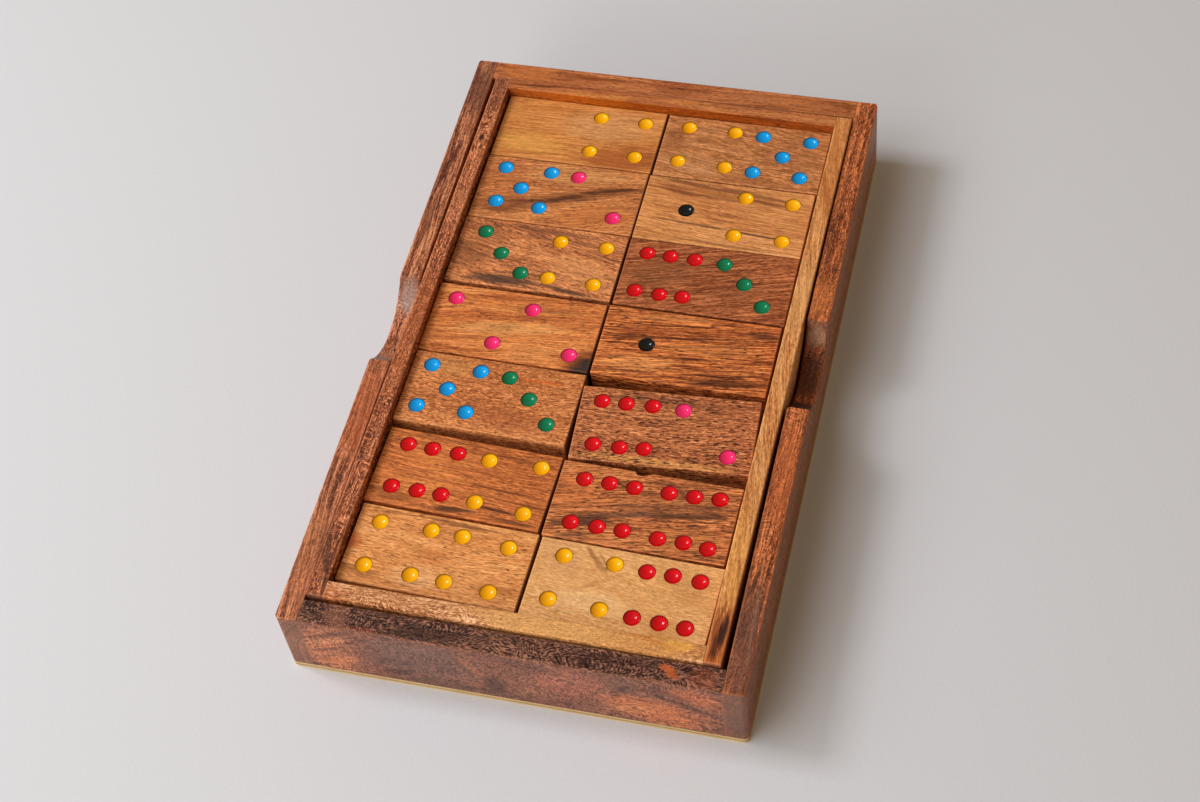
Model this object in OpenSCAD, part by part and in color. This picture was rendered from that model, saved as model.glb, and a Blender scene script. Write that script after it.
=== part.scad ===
// Domino storage box: a shallow outer box with a finger notch in each long wall, a tray
// that lifts out of it, and two layers of wooden dominoes with drilled, enamelled pips.
// X runs across the box, Y along it and Z up. The origin is the middle of the underside.

/* [Dominoes] */
// Length of a domino, across the box
tile_l = 49.1; // [46:0.1:49.2]
// Width of a domino, along the box
tile_w = 24; // [22:0.1:24]
// Thickness of a domino
tile_t = 9.45; // [7:0.05:12]
// Radius of a domino's sanded edges
tile_edge_r = 0.4; // [0.3:0.1:1]
// Chip out of the back edge of the double six: 1 with it, 0 without
chipped_tile = 1; // [0:1:1]

/* [Pips] */
// Diameter of a pip's hollow at the face of the domino
pip_d = 4.7; // [3.5:0.1:5]
// Depth of a pip's hollow, to the enamel at its bottom
pip_depth = 1.2; // [0.8:0.1:1.4]
// Thickness of the enamel at the bottom of a hollow
enamel_t = 0.25; // [0.1:0.05:0.3]
// Distance of a half's centre from the middle of the domino
half_pitch = 11.4; // [11:0.1:12]
// Column spacing of the pips in a half
pip_dx = 6.9; // [6:0.1:7.2]
// Distance of the front and back pips from the middle line
pip_dy = 6.9; // [5:0.1:7]
// How much of the drill's straying is kept: 0 puts each pip on its spot
drill_wander = 1; // [0:0.25:1]

/* [Tray] */
// Clear width inside the tray: two dominoes and a little play
tray_inner_w = 100.1; // [100.1:0.1:104]
// Clear length inside the tray: seven dominoes and a little play
tray_inner_l = 176.7; // [176.7:0.1:182]
// Thickness of the tray's long walls
tray_side_t = 4.65; // [3:0.05:6]
// Thickness of the tray's front wall
tray_front_t = 4.9; // [3:0.1:6]
// Thickness of the tray's back wall
tray_back_t = 3.9; // [3:0.1:6]
// Thickness of the plywood panel under the tray
tray_floor_t = 2; // [1:0.5:3]
// Height of the tray's rim above the outer box
tray_proud = 1; // [0:0.1:3]
// Play between the tray and the outer box, across it and along it
tray_play = [1.6, 1.6]; // [1.6:0.1:3]
// How the tray lies in its play: shift across, shift along
tray_shift = [0, -0.1]; // [-0.1:0.1:0.1]
// How the tray lies in its play: turn, in degrees
tray_turn = -0.4; // [-0.4:0.1:0]

/* [Outer box] */
// Thickness of the long walls
side_t = 6.15; // [4:0.05:8]
// Thickness of the end walls
end_t = 6.7; // [4:0.1:8]
// Height of the outer box, with its plywood panel
box_h = 25; // [24:0.5:30]
// Thickness of the plywood panel
base_t = 2; // [1:0.5:3]
// Radius of the sanded outer edges
outer_edge_r = 0.5; // [0.3:0.1:1.5]
// Radius of the sanded inner edges of all the walls
inner_edge_r = 0.4; // [0.2:0.1:1]
// Corner radius of the outer box, seen from above
corner_r = 1.6; // [1:0.1:3]

/* [Finger notches] */
// Left notch: middle along the wall
left_notch_y = -1.2; // [-20:0.1:20]
// Left notch: depth below the rim
left_notch_depth = 7.2; // [5:0.1:12]
// Left notch: radius of the cutter
left_notch_r = 19.2; // [15:0.1:24]
// Right notch: middle along the wall
right_notch_y = 2.2; // [-20:0.1:20]
// Right notch: depth below the rim
right_notch_depth = 9.4; // [5:0.1:12]
// Right notch: radius of the cutter
right_notch_r = 16.5; // [15:0.1:24]
// Width of the bevel sanded round each notch
notch_bevel = 0.5; // [0.2:0.1:1]

/* [Hidden] */
$fn = 96;

columns = 2;
rows = 7;

// Outer sizes, from the tray outwards
tray_w = tray_inner_w + 2 * tray_side_t;
tray_l = tray_inner_l + tray_front_t + tray_back_t;
well_w = tray_w + tray_play.x;
well_l = tray_l + tray_play.y;
box_w = well_w + 2 * side_t;
box_l = well_l + 2 * end_t;

// Heights, from the table up
tray_bottom = base_t;
lower_bottom = tray_bottom + tray_floor_t;
lower_top = lower_bottom + tile_t;
layer_gap = 0.08;
upper_bottom = lower_top + layer_gap;
upper_top = upper_bottom + tile_t;
tray_top = box_h + tray_proud;

// Grid of the stacks: the middle of the tray's clear space, and the pitch of its places
stack_pitch = [tray_inner_w / columns, tray_inner_l / rows];
tray_inner_middle_y = (tray_front_t - tray_back_t) / 2;

// Wood tones, light to dark
pale = "#D9A662";
gold = "#CB8E4C";
tan = "#B97B47";
brown = "#A0623A";
russet = "#8A4B33";
dark = "#5C3527";
plywood = "#C9AE7C";

// The fourteen stacks of two dominoes, from the back row to the front row. Each one is
// [column, row, [upper ends], [lower ends], [shift across, shift along], turn, tone],
// with the ends from left to right and the shift and turn as they lie in the tray.
STACKS = [
    [0, 0, [0, 4], [1, 3], [0.22, 0.49], 0.1, gold],
    [0, 1, [5, 2], [0, 6], [0.07, 1.43], 0.1, brown],
    [0, 2, [3, 4], [5, 5], [-0.10, 2.33], -0.1, tan],
    [0, 3, [2, 2], [1, 6], [-0.36, 2.27], -0.1, tan],
    [0, 4, [5, 3], [2, 3], [-0.32, 2.91], -0.4, tan],
    [0, 5, [6, 4], [0, 2], [-0.01, 1.06], -1.8, tan],
    [0, 6, [4, 4], [1, 5], [0.04, 1.40], -1.2, gold],
    [1, 0, [4, 5], [3, 3], [-0.12, 0.43], 0.2, brown],
    [1, 1, [1, 4], [0, 5], [-0.47, 1.27], 0.1, gold],
    [1, 2, [6, 3], [1, 2], [-0.38, 2.17], 0.3, russet],
    [1, 3, [1, 0], [2, 4], [-0.67, 2.66], 0.2, brown],
    [1, 4, [6, 2], [1, 1], [-0.37, 0.80], 3.5, brown],
    [1, 5, [6, 6], [0, 3], [-0.32, -0.50], -0.7, brown],
    [1, 6, [4, 6], [5, 6], [-0.12, 0.09], -1.1, pale],
];

// How far the drill strayed across and along from each spot of the upper dominoes, in the
// order of the stacks and of spots(): the pips of the left end, then those of the right
UPPER_STRAYS = [
    [[], [[0.2, 0.5], [0.6, 0.2], [0.2, 0.3], [0.5, 0]]],
    [[[0.6, 1.5], [0.2, 0.8], [0.1, 0.8], [0.4, 0.8], [-0.2, 0.5]], [[-0.2, 0.3], [-0.4, 0.5]]],
    [[[1.1, 0.1], [0.8, -0.1], [1.3, 0.6]], [[0.5, 0.2], [0.8, 0], [0.1, 0], [0.7, -0.2]]],
    [[[-0.3, 0.2], [0.3, 0.3]], [[-0.4, -0.3], [-0.2, -0.1]]],
    [[[-0.8, 0.5], [-0.5, 0.7], [-0.6, 0.6], [-0.2, 0.8], [-0.9, 0.4]],
        [[-0.6, 0.2], [-0.4, 1], [-0.4, 0.7]]],
    [[[0, 0.4], [0.2, 0.4], [0.4, 0.4], [0.3, 0.3], [0.2, 0.5], [0.7, 0.3]],
        [[0.8, 0.2], [0.7, -0.1], [0.7, -0.6], [1.3, 0.6]]],
    [[[0, 0.5], [0.1, 0.2], [-0.8, 0.1], [0.5, 0.4]],
        [[-0.5, -0.1], [0.2, 0.2], [-2.1, -0.7], [-0.7, -0.6]]],
    [[[0.1, 1.1], [0.7, 0.8], [0.4, 0.8], [0.8, 0.9]],
        [[-0.1, 0.1], [0.4, 0.4], [0, 0], [0.8, 0.2], [0.5, 0.3]]],
    [[[0.2, 0.2]], [[-0.3, 0.1], [0.4, 0.6], [-0.1, 0.1], [0.5, 0.3]]],
    [[[-1, 0.3], [-0.4, 0.3], [-0.7, 0], [-0.5, 0.2], [-1, 0.1], [-0.3, 0.1]],
        [[-0.6, -0.3], [-0.6, 0.4], [-1.1, 0.2]]],
    [[[0.2, -0.1]], []],
    [[[-0.3, 0], [-0.3, 0.4], [0.1, -0.3], [-0.5, 0.3], [-0.2, 0], [-0.1, 0.3]],
        [[-0.6, -0.2], [-0.4, 0]]],
    [[[0.4, 0], [0.6, 0], [0.7, 0], [0.6, 0], [0.6, 0.1], [0.5, -0.1]],
        [[1.2, -0.5], [0.9, 0], [1.2, -0.4], [0.8, 0.1], [0.9, -1], [0.7, 0.6]]],
    [[[0.3, 1], [0.9, 0.5], [0.2, 0.6], [0.7, 0.6]],
        [[0, 0], [0.4, 0.1], [0.2, -0.1], [0.3, 0.3], [0.1, -0.2], [0.7, 0]]],
];

// Enamel of each number, from none to six
PIP_COLOURS = ["white", "#101014", "#DE2A66", "#0E7A4C", "#F8AE10", "#1486DC", "#C4102C"];

function column(stack) = stack[0];
function row(stack) = stack[1];
function upper_ends(stack) = stack[2];
function lower_ends(stack) = stack[3];
function tone(stack) = stack[6];
function piece_name(kind, ends) = str(kind, "_", ends[0], "_", ends[1]);

// Outlines

// Rectangle with four round corners, about the origin
module round_rect(size, r) {
    square([size.x - 2 * r, size.y], center = true);
    square([size.x, size.y - 2 * r], center = true);
    for (x = [-1, 1], y = [-1, 1])
        translate([x * (size.x / 2 - r), y * (size.y / 2 - r)]) circle(r);
}

// Upright rectangle that stands on the X axis from x = 0, its top corners rounded by
// r_near at x = 0 and r_far at the other side
module board_section(t, h, r_near, r_far) {
    r_max = max(r_near, r_far);
    square([t, h - r_max]);
    translate([r_near, 0]) square([t - r_near - r_far, h]);
    square([r_near + 0.01, h - r_near]);
    translate([t - r_far - 0.01, 0]) square([r_far + 0.01, h - r_far]);
    translate([r_near, h - r_near]) circle(r_near);
    translate([t - r_far, h - r_far]) circle(r_far);
}

// Sweeps an outline in the XZ plane along Y, about the XZ plane
module along_y(length) {
    translate([0, length / 2, 0]) rotate([90, 0, 0]) linear_extrude(length) children();
}

// Sweeps an outline, drawn with its first axis along Y and its second up, along X
module along_x(length) {
    translate([-length / 2, 0, 0]) rotate([90, 0, 90]) linear_extrude(length) children();
}

// Board on its long edge, running the whole length of a frame of the given size, with
// its outer face at x = 0 and its end grain showing at both ends
module side_board(frame_size, t, h, outer_r, inner_r, plan_r) {
    intersection() {
        along_y(frame_size.y) board_section(t, h, outer_r, inner_r);
        along_x(2 * t + 2) translate([-frame_size.y / 2, 0])
            board_section(frame_size.y, h, outer_r, outer_r);
        translate([frame_size.x / 2, 0]) linear_extrude(h) round_rect(frame_size, plan_r);
    }
}

// Board on its long edge between two side boards, with its outer face at y = 0
module end_board(length, t, h, outer_r, inner_r) {
    along_x(length) board_section(t, h, outer_r, inner_r);
}

// Half-round cutter through a side board whose outer face is at x = 0, with a bevel at
// both faces
module notch_cutter(t, h, y, depth, r, bevel) {
    rise = h - depth + r;
    translate([-1, y, rise]) rotate([0, 90, 0]) cylinder(h = t + 2, r = r);
    translate([0, y, rise]) rotate([0, 90, 0]) cylinder(h = bevel, r1 = r + bevel, r2 = r);
    translate([t - bevel, y, rise]) rotate([0, 90, 0])
        cylinder(h = bevel, r1 = r, r2 = r + bevel);
}

// Outer box

wall_h = box_h - base_t;

module outer_side_board() {
    side_board([box_w, box_l], side_t, wall_h, outer_edge_r, inner_edge_r, corner_r);
}

module base_panel() {
    color(plywood) linear_extrude(base_t) round_rect([box_w, box_l], corner_r);
}

module left_wall() {
    color(brown) translate([-box_w / 2, 0, base_t]) difference() {
        outer_side_board();
        notch_cutter(side_t, wall_h, left_notch_y, left_notch_depth, left_notch_r,
            notch_bevel);
    }
}

module right_wall() {
    color(brown) translate([box_w / 2, 0, base_t]) mirror([1, 0, 0]) difference() {
        outer_side_board();
        notch_cutter(side_t, wall_h, right_notch_y, right_notch_depth, right_notch_r,
            notch_bevel);
    }
}

module front_wall() {
    color(dark) translate([0, -box_l / 2, base_t])
        end_board(well_w, end_t, wall_h, outer_edge_r, inner_edge_r);
}

module back_wall() {
    color(brown) translate([0, box_l / 2, base_t]) mirror([0, 1, 0])
        end_board(well_w, end_t, wall_h, outer_edge_r, inner_edge_r);
}

// Tray

tray_wall_h = tray_top - tray_bottom - tray_floor_t;

// Puts a piece that is drawn about the tray's own middle where the tray lies
module in_tray(z) {
    translate([tray_shift.x, tray_shift.y, z]) rotate(tray_turn) children();
}

module tray_side_board() {
    side_board([tray_w, tray_l], tray_side_t, tray_wall_h, inner_edge_r, inner_edge_r,
        inner_edge_r);
}

module tray_floor() {
    color(plywood) in_tray(tray_bottom)
        linear_extrude(tray_floor_t) round_rect([tray_w, tray_l], inner_edge_r);
}

module tray_left_wall() {
    color(russet) in_tray(lower_bottom) translate([-tray_w / 2, 0, 0]) tray_side_board();
}

module tray_right_wall() {
    color(gold) in_tray(lower_bottom) translate([tray_w / 2, 0, 0]) mirror([1, 0, 0])
        tray_side_board();
}

module tray_front_wall() {
    color(tan) in_tray(lower_bottom) translate([0, -tray_l / 2, 0])
        end_board(tray_inner_w, tray_front_t, tray_wall_h, inner_edge_r, inner_edge_r);
}

module tray_back_wall() {
    color(tan) in_tray(lower_bottom) translate([0, tray_l / 2, 0]) mirror([0, 1, 0])
        end_board(tray_inner_w, tray_back_t, tray_wall_h, inner_edge_r, inner_edge_r);
}

// Dominoes

// Spots of a number, in units of the pip spacing: twos and threes run from the back left
// to the front right, and sixes are three columns of two
function spots(number) =
    number == 1 ? [[0, 0]] :
    number == 2 ? [[-1, 1], [1, -1]] :
    number == 3 ? [[-1, 1], [0, 0], [1, -1]] :
    number == 4 ? [for (x = [-1, 1], y = [-1, 1]) [x, y]] :
    number == 5 ? concat(spots(4), [[0, 0]]) :
    number == 6 ? [for (x = [-1, 0, 1], y = [-1, 1]) [x, y]] :
    [];

// How far the drill strayed from the spots of one end of a stack's upper domino: end 0 is
// the left one and end 1 the right one
function upper_strays(stack, end) = UPPER_STRAYS[column(stack) * rows + row(stack)][end];

// The same for its lower domino, which can't be seen: up to a little to any side
function lower_strays(stack, end) =
    let (most = 0.5, most_pips = 6, seed = 100 * (column(stack) * rows + row(stack) + 1))
    [for (i = [0:1:most_pips - 1]) rands(-most, most, 2, seed + most_pips * end + i)];

// Where the pips of one end were drilled
function drilled(number, end, strays) =
    let (marks = spots(number), middle = [(2 * end - 1) * half_pitch, 0])
    [for (i = [0:1:len(marks) - 1])
        middle + [marks[i].x * pip_dx, marks[i].y * pip_dy] + drill_wander * strays[i]];

function upper_drilled(stack, end) =
    drilled(upper_ends(stack)[end], end, upper_strays(stack, end));

function lower_drilled(stack, end) =
    drilled(lower_ends(stack)[end], end, lower_strays(stack, end));

// Puts a piece that is drawn about a stack's middle where that stack lies in the tray
module in_stack(stack, z) {
    place = [(column(stack) - (columns - 1) / 2) * stack_pitch.x,
        ((rows - 1) / 2 - row(stack)) * stack_pitch.y + tray_inner_middle_y];
    in_tray(z) translate(place + stack[4]) rotate(stack[5]) children();
}

// Block of wood with all its edges rounded, standing on the XY plane
module sanded_block(size, r) {
    translate([0, 0, size.z / 2]) intersection() {
        translate([0, 0, -size.z / 2]) linear_extrude(size.z)
            round_rect([size.x, size.y], r);
        along_y(size.y) round_rect([size.x, size.z], r);
        along_x(size.x) round_rect([size.y, size.z], r);
    }
}

// Ball that dips below z = 0 by a depth, and is 2 * rim_r wide there
module dip(rim_r, depth) {
    ball_r = (rim_r * rim_r + depth * depth) / (2 * depth);
    translate([0, 0, ball_r - depth]) sphere(ball_r);
}

// Hollow that the drill leaves in a top face at z = 0
module drilled_hollow() {
    dip(pip_d / 2, pip_depth + enamel_t);
}

// What is left of that hollow inside its coat of enamel
module painted_hollow() {
    enamel_rim = 0.1;
    dip(pip_d / 2 - enamel_rim, pip_depth);
}

// Enamel of one pip: the coat between the two hollows
module pip() {
    difference() {
        intersection() {
            drilled_hollow();
            translate([0, 0, -2 * pip_depth]) cylinder(h = 2 * pip_depth, r = pip_d);
        }
        painted_hollow();
    }
}

// Enamel of one end of a domino, on a top face at z = 0
module pips(number, places) {
    color(PIP_COLOURS[number]) for (p = places) translate(p) pip();
}

// Splinter that broke out of a back edge: steep at its left end and shallow at its right
module chip() {
    chip_depth = 2.6;
    chip_outline = [[-5.2, 1], [-5.2, 0], [-4.1, -1.3], [-2.6, -1.2], [0.4, 0], [0.4, 1]];
    translate([0, tile_w / 2, tile_t - chip_depth]) linear_extrude(chip_depth + 1)
        polygon(chip_outline);
}

module upper_tile(stack) {
    chipped = chipped_tile == 1 && upper_ends(stack) == [6, 6];
    color(tone(stack)) in_stack(stack, upper_bottom) difference() {
        sanded_block([tile_l, tile_w, tile_t], tile_edge_r);
        for (end = [0, 1], p = upper_drilled(stack, end))
            translate([p.x, p.y, tile_t]) drilled_hollow();
        if (chipped) chip();
    }
}

module upper_pips(stack) {
    in_stack(stack, upper_top)
        for (end = [0, 1]) pips(upper_ends(stack)[end], upper_drilled(stack, end));
}

// A lower domino is one piece with its enamel
module lower_tile(stack) {
    color(tone(stack)) in_stack(stack, lower_bottom) difference() {
        sanded_block([tile_l, tile_w, tile_t], tile_edge_r);
        for (end = [0, 1], p = lower_drilled(stack, end))
            translate([p.x, p.y, tile_t]) painted_hollow();
    }
}

base_panel();
left_wall();
right_wall();
front_wall();
back_wall();
tray_floor();
tray_left_wall();
tray_right_wall();
tray_front_wall();
tray_back_wall();
for (s = STACKS) {
    upper_tile(s);
    upper_pips(s);
    lower_tile(s);
}
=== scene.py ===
# %% [markdown]
# # A wooden domino box, dressed for its photograph
# The construction is already there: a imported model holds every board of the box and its
# tray, all the dominoes and the joints that lift them. This script gives each piece the
# surface that the real one has. It never moves a piece. It loads the model first, and
# everything else is measured from it.

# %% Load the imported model
import math

import bpy
from mathutils import Matrix, Vector


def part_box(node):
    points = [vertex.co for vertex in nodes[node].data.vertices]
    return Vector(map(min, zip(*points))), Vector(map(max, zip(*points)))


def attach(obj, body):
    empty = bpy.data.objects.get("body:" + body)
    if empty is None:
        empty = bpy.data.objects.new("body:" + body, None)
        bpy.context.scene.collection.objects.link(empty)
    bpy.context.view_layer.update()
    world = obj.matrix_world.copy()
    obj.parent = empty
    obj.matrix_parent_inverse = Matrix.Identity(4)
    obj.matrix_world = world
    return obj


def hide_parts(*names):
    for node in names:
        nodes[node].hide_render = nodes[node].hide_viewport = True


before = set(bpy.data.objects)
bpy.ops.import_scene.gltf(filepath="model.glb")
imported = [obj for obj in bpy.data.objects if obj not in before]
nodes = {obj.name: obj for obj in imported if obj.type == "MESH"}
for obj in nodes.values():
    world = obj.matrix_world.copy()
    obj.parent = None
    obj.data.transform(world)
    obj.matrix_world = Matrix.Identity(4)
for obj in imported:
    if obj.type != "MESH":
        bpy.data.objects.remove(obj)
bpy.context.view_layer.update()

# %% [markdown]
# Blender works in metres and its colours are linear light. A maker thinks in millimetres
# and picks a colour as a hex code from a screen, so two small definitions translate.

# %% Millimetres and colours
MM = 0.001


def linear(hex_code):
    """An sRGB hex colour as the linear colour that Blender's sockets hold."""
    parts = [int(hex_code[i : i + 2], 16) / 255 for i in (1, 3, 5)]
    turned = [c / 12.92 if c <= 0.04045 else ((c + 0.055) / 1.055) ** 2.4 for c in parts]
    return (*turned, 1.0)


print("mid brown is", [round(c, 3) for c in linear("#A0623A")])

# %% [markdown]
# The photograph looks down on the box from its front right, with a slightly tilted
# camera. Three directions at right angles fix a camera's turn: where it looks, its up and
# its right. They are the columns of its matrix, because a camera looks along its own -Z.

# %% Camera
CAMERA_PLACE = Vector((0.1263, -0.3404, 0.4952))
CAMERA_LOOK = Vector((-0.20773, 0.55150, -0.80790)).normalized()
CAMERA_UP = Vector((-0.13819, 0.80109, 0.58238))
CAMERA_LENS = 64.5

camera_right = CAMERA_LOOK.cross(CAMERA_UP).normalized()
camera_up = camera_right.cross(CAMERA_LOOK)
turn = Matrix((camera_right, camera_up, -CAMERA_LOOK)).transposed().to_4x4()
camera = bpy.data.objects.new("camera", bpy.data.cameras.new("camera"))
camera.data.lens = CAMERA_LENS
camera.matrix_world = Matrix.Translation(CAMERA_PLACE) @ turn
bpy.context.scene.collection.objects.link(camera)
bpy.context.scene.camera = camera
bpy.context.scene.view_settings.view_transform = "Standard"
print("camera", round(CAMERA_PLACE.length, 3), "m away")

# %% [markdown]
# Materials, groups and geometry trees are all built from nodes. Writing each one out would
# bury the idea, so one small function adds a node: it takes the node's settings by name
# and, for each of its inputs, a value, another node's output, or another node. Two nodes
# come up often. A Map Range node's inputs 1 and 2 are the range that its value comes from,
# and 3 and 4 the range that it goes to, both 0 to 1 where nothing is given. A Mix node
# that blends colours takes how much in input 0, and the two colours in 6 and 7.

# %% Add a node
BLEND = {"data_type": "RGBA", "clamp_factor": True}  # settings of a Mix node for colours


def node(tree, kind, sockets=None, **settings):
    """Adds a node. sockets maps an input's name or number to a value, or to an output to
    link, or to a node whose first output in use is linked."""
    made = tree.nodes.new(kind)
    for name, value in settings.items():
        setattr(made, name, value)
    for key, value in (sockets or {}).items():
        if isinstance(value, bpy.types.Node):
            value = next(output for output in value.outputs if output.enabled)
        if isinstance(value, bpy.types.NodeSocket):
            tree.links.new(value, made.inputs[key])
        else:
            made.inputs[key].default_value = value
    return made


def new_material(name):
    """An empty material, its tree and its shader."""
    material = bpy.data.materials.new(name)
    material.use_nodes = True
    material.node_tree.nodes.clear()
    shader = node(material.node_tree, "ShaderNodeBsdfPrincipled")
    node(material.node_tree, "ShaderNodeOutputMaterial", {"Surface": shader})
    return material, material.node_tree, shader


print("ready: one function for a node, one for an empty material")

# %% [markdown]
# The box stands on a table covered with plain pale paper, whose tooth makes it dead matt.
# The table belongs to the room and not to the box.

# %% Table
TABLE_SIZE = 6.0
TABLE_COLOUR = "#CECDD1"
TABLE_TOOTH = 900.0  # noise scale for a tooth of about 1 mm, the finest that shows
TABLE_ROUGHNESS = 0.85

bpy.ops.mesh.primitive_plane_add(size=TABLE_SIZE)
table = bpy.context.object
table.name = "table"
paper, tree, shader = new_material("matt_paper_table")
place = node(tree, "ShaderNodeTexCoord").outputs["Object"]
tooth = {"Vector": place, "Scale": TABLE_TOOTH, "Detail": 2.0}
tooth = node(tree, "ShaderNodeTexNoise", tooth)
bump = node(tree, "ShaderNodeBump", {"Height": tooth, "Strength": 0.05})
tree.links.new(bump.outputs[0], shader.inputs["Normal"])
shader.inputs["Base Color"].default_value = linear(TABLE_COLOUR)
shader.inputs["Roughness"].default_value = TABLE_ROUGHNESS
table.data.materials.append(paper)
print("a table", TABLE_SIZE, "m across")

# %% [markdown]
# Three lamps stand for the bright room. The large soft one, high on the left and a little
# to the front, gives the tops their light and throws the soft shadow on the right. The
# small one beside it is the only one that gloss mirrors, because each pip shows one small
# glint, and a large lamp's would cover the pip. The low panel in front lifts the front
# wall. The world fills in the rest, a little warm, as light from walls and furniture is.

# %% Lamps and room
ROOM_COLOUR = "#FFE4BC"
ROOM_STRENGTH = 0.30
LAMPS = {  # metres away, degrees from +X and above the table, metres wide, watts, colour
    "left_window": (1.20, 204.0, 53.0, 1.05, 9.2, "#F3F9FF"),
    "bright_pane": (1.20, 180.0, 50.0, 0.30, 5.0, "#F3F9FF"),
    "front_panel": (1.50, 250.0, 15.0, 0.90, 11.5, "#FFFFFF"),
}
GLINTS = "bright_pane"

for name, (distance, around, height, size, power, colour) in LAMPS.items():
    light = bpy.data.lights.new(name, "AREA")
    light.size = size
    light.energy = power
    light.color = linear(colour)[:3]
    lamp = bpy.data.objects.new(name, light)
    around, height = math.radians(around), math.radians(height)
    level = Vector((math.cos(around), math.sin(around), 0.0))
    lamp.location = distance * (math.cos(height) * level + Vector((0, 0, math.sin(height))))
    lamp.rotation_euler = (-lamp.location).to_track_quat("-Z", "Y").to_euler()
    lamp.visible_glossy = name == GLINTS
    bpy.context.scene.collection.objects.link(lamp)

world = bpy.data.worlds.new("room")
world.use_nodes = True
room = world.node_tree.nodes["Background"].inputs
room["Color"].default_value = linear(ROOM_COLOUR)
room["Strength"].default_value = ROOM_STRENGTH
bpy.context.scene.world = world
print(len(LAMPS), "lamps and a warm room")

# %% [markdown]
# A board's figure follows the board, not the room. So before any wood is painted, each
# piece's middle, sizes and turn are read from its mesh. The grain runs along the longest
# side of every piece here, and the longest edge that is nearly along it gives the turn.
# An edge further off is only a diagonal that splits a face into triangles.

# %% Where each board lies
MOST_TURN = 0.1  # the boards are turned by less than this slope


def lie(name):
    """A piece's middle in metres, half its sizes along and across it, and its turn about Z."""
    mesh = nodes[name].data
    low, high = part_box(name)
    along_y = high.y - low.y > high.x - low.x
    best = Vector((0.0, 0.0))
    for edge in mesh.edges:
        a, b = (mesh.vertices[i].co for i in edge.vertices)
        run, drift = b.x - a.x, b.y - a.y
        if along_y:
            run, drift = drift, -run
        if abs(drift) < MOST_TURN * abs(run) and abs(run) > best.x:
            best = Vector((abs(run), math.copysign(1.0, run) * drift))
    angle = math.atan2(best.y, best.x) + (math.pi / 2 if along_y else 0.0)
    upright = Matrix.Rotation(-angle, 3, "Z")
    turned = [upright @ v.co for v in mesh.vertices]
    least = Vector([min(p[i] for p in turned) for i in range(3)])
    most = Vector([max(p[i] for p in turned) for i in range(3)])
    return upright.inverted() @ ((least + most) / 2), (most - least) / 2, angle


for name in ("left_wall", "upper_tile_6_2"):
    print(name, "is turned", round(math.degrees(lie(name)[2]), 2), "degrees")

# %% [markdown]
# ## Oiled hardwood
# The boards are a reddish, open-pored hardwood, sawn, sanded and oiled. Its figure is what
# makes the eye read it as wood, and all of it is made from noise. So the first helper is
# noise whose blots have a real length, width and depth. It is measured in the board's own
# millimetres and in depth, so ends and sides agree with the top. The second makes a node
# group, because every board uses the same figure with its own numbers.

# %% Noise in millimetres, and groups


def stretched(tree, place, blot_mm, detail, roughness=0.5):
    """Noise whose blots are blot_mm long, wide and deep in the board's millimetres."""
    spread = node(
        tree,
        "ShaderNodeVectorMath",
        {0: place, 1: [1 / s for s in blot_mm]},
        operation="MULTIPLY",
    )
    noise = {"Vector": spread, "Scale": 1.0, "Detail": detail, "Roughness": roughness}
    return node(tree, "ShaderNodeTexNoise", noise)


def group(name, inputs, outputs):
    """A node group: its tree, what its inputs give inside it, and where its results go."""
    tree = bpy.data.node_groups.new(name, "ShaderNodeTree")
    for in_out, sockets in (("INPUT", inputs), ("OUTPUT", outputs)):
        for title, kind in sockets.items():
            tree.interface.new_socket(title, in_out=in_out, socket_type="NodeSocket" + kind)
    given = tree.nodes.new("NodeGroupInput").outputs
    return tree, given, tree.nodes.new("NodeGroupOutput").inputs


figure, given, result = group(
    "hardwood figure",
    {
        "Place": "Vector",
        "Seed": "Float",
        "Turn": "Vector",
        "Pith": "Vector",
        "Layer": "Float",
        "Wander": "Float",
        "Curl": "Float",
        "Openness": "Float",
    },
    dict.fromkeys(("Layers", "Fibres", "Flecks", "Curls", "Pores", "Clouds"), "Float"),
)
print("hardwood figure:", len(given) - 1, "inputs and", len(result) - 1, "results")

# %% [markdown]
# Growth layers are shells round the pith, the tree's middle. A face cuts them into lines
# and an end cuts them into arcs. So a layer is a step in the distance from the pith, after
# the place has been bent: the tree wasn't straight, its layers wander slowly and, in curly
# wood, they ripple. Each board's seed moves it to wood of its own.

# %% Growth layers
WANDER_BLOT = (55.0, 16.0, 16.0)
RIPPLE_BLOT = (4.5, 4.5, 9.0)
SEED_STEP = (173.0, 61.0, 37.0)  # millimetres from one board's noise to the next one's
LAYER_SEED_STEP = 19.0  # the same, in layers
NOISE_MIDDLE = 0.5

grain_place = node(
    figure,
    "ShaderNodeMapping",
    {"Vector": given["Place"], "Rotation": given["Turn"]},
    vector_type="TEXTURE",
)
seed_shift = node(
    figure, "ShaderNodeVectorMath", {0: SEED_STEP, "Scale": given["Seed"]}, operation="SCALE"
)
spot = node(figure, "ShaderNodeVectorMath", {0: grain_place, 1: seed_shift}, operation="ADD")

bend = grain_place
for blot, amount in ((WANDER_BLOT, "Wander"), (RIPPLE_BLOT, "Curl")):
    either_way = node(
        figure,
        "ShaderNodeVectorMath",
        {0: stretched(figure, spot, blot, 1.0).outputs[1], 1: [NOISE_MIDDLE] * 3},
        operation="SUBTRACT",
    )
    bend = node(
        figure,
        "ShaderNodeVectorMath",
        {0: either_way, 1: given[amount], 2: bend},
        operation="MULTIPLY_ADD",
    )
bent_spot = node(figure, "ShaderNodeVectorMath", {0: bend, 1: seed_shift}, operation="ADD")

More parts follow.
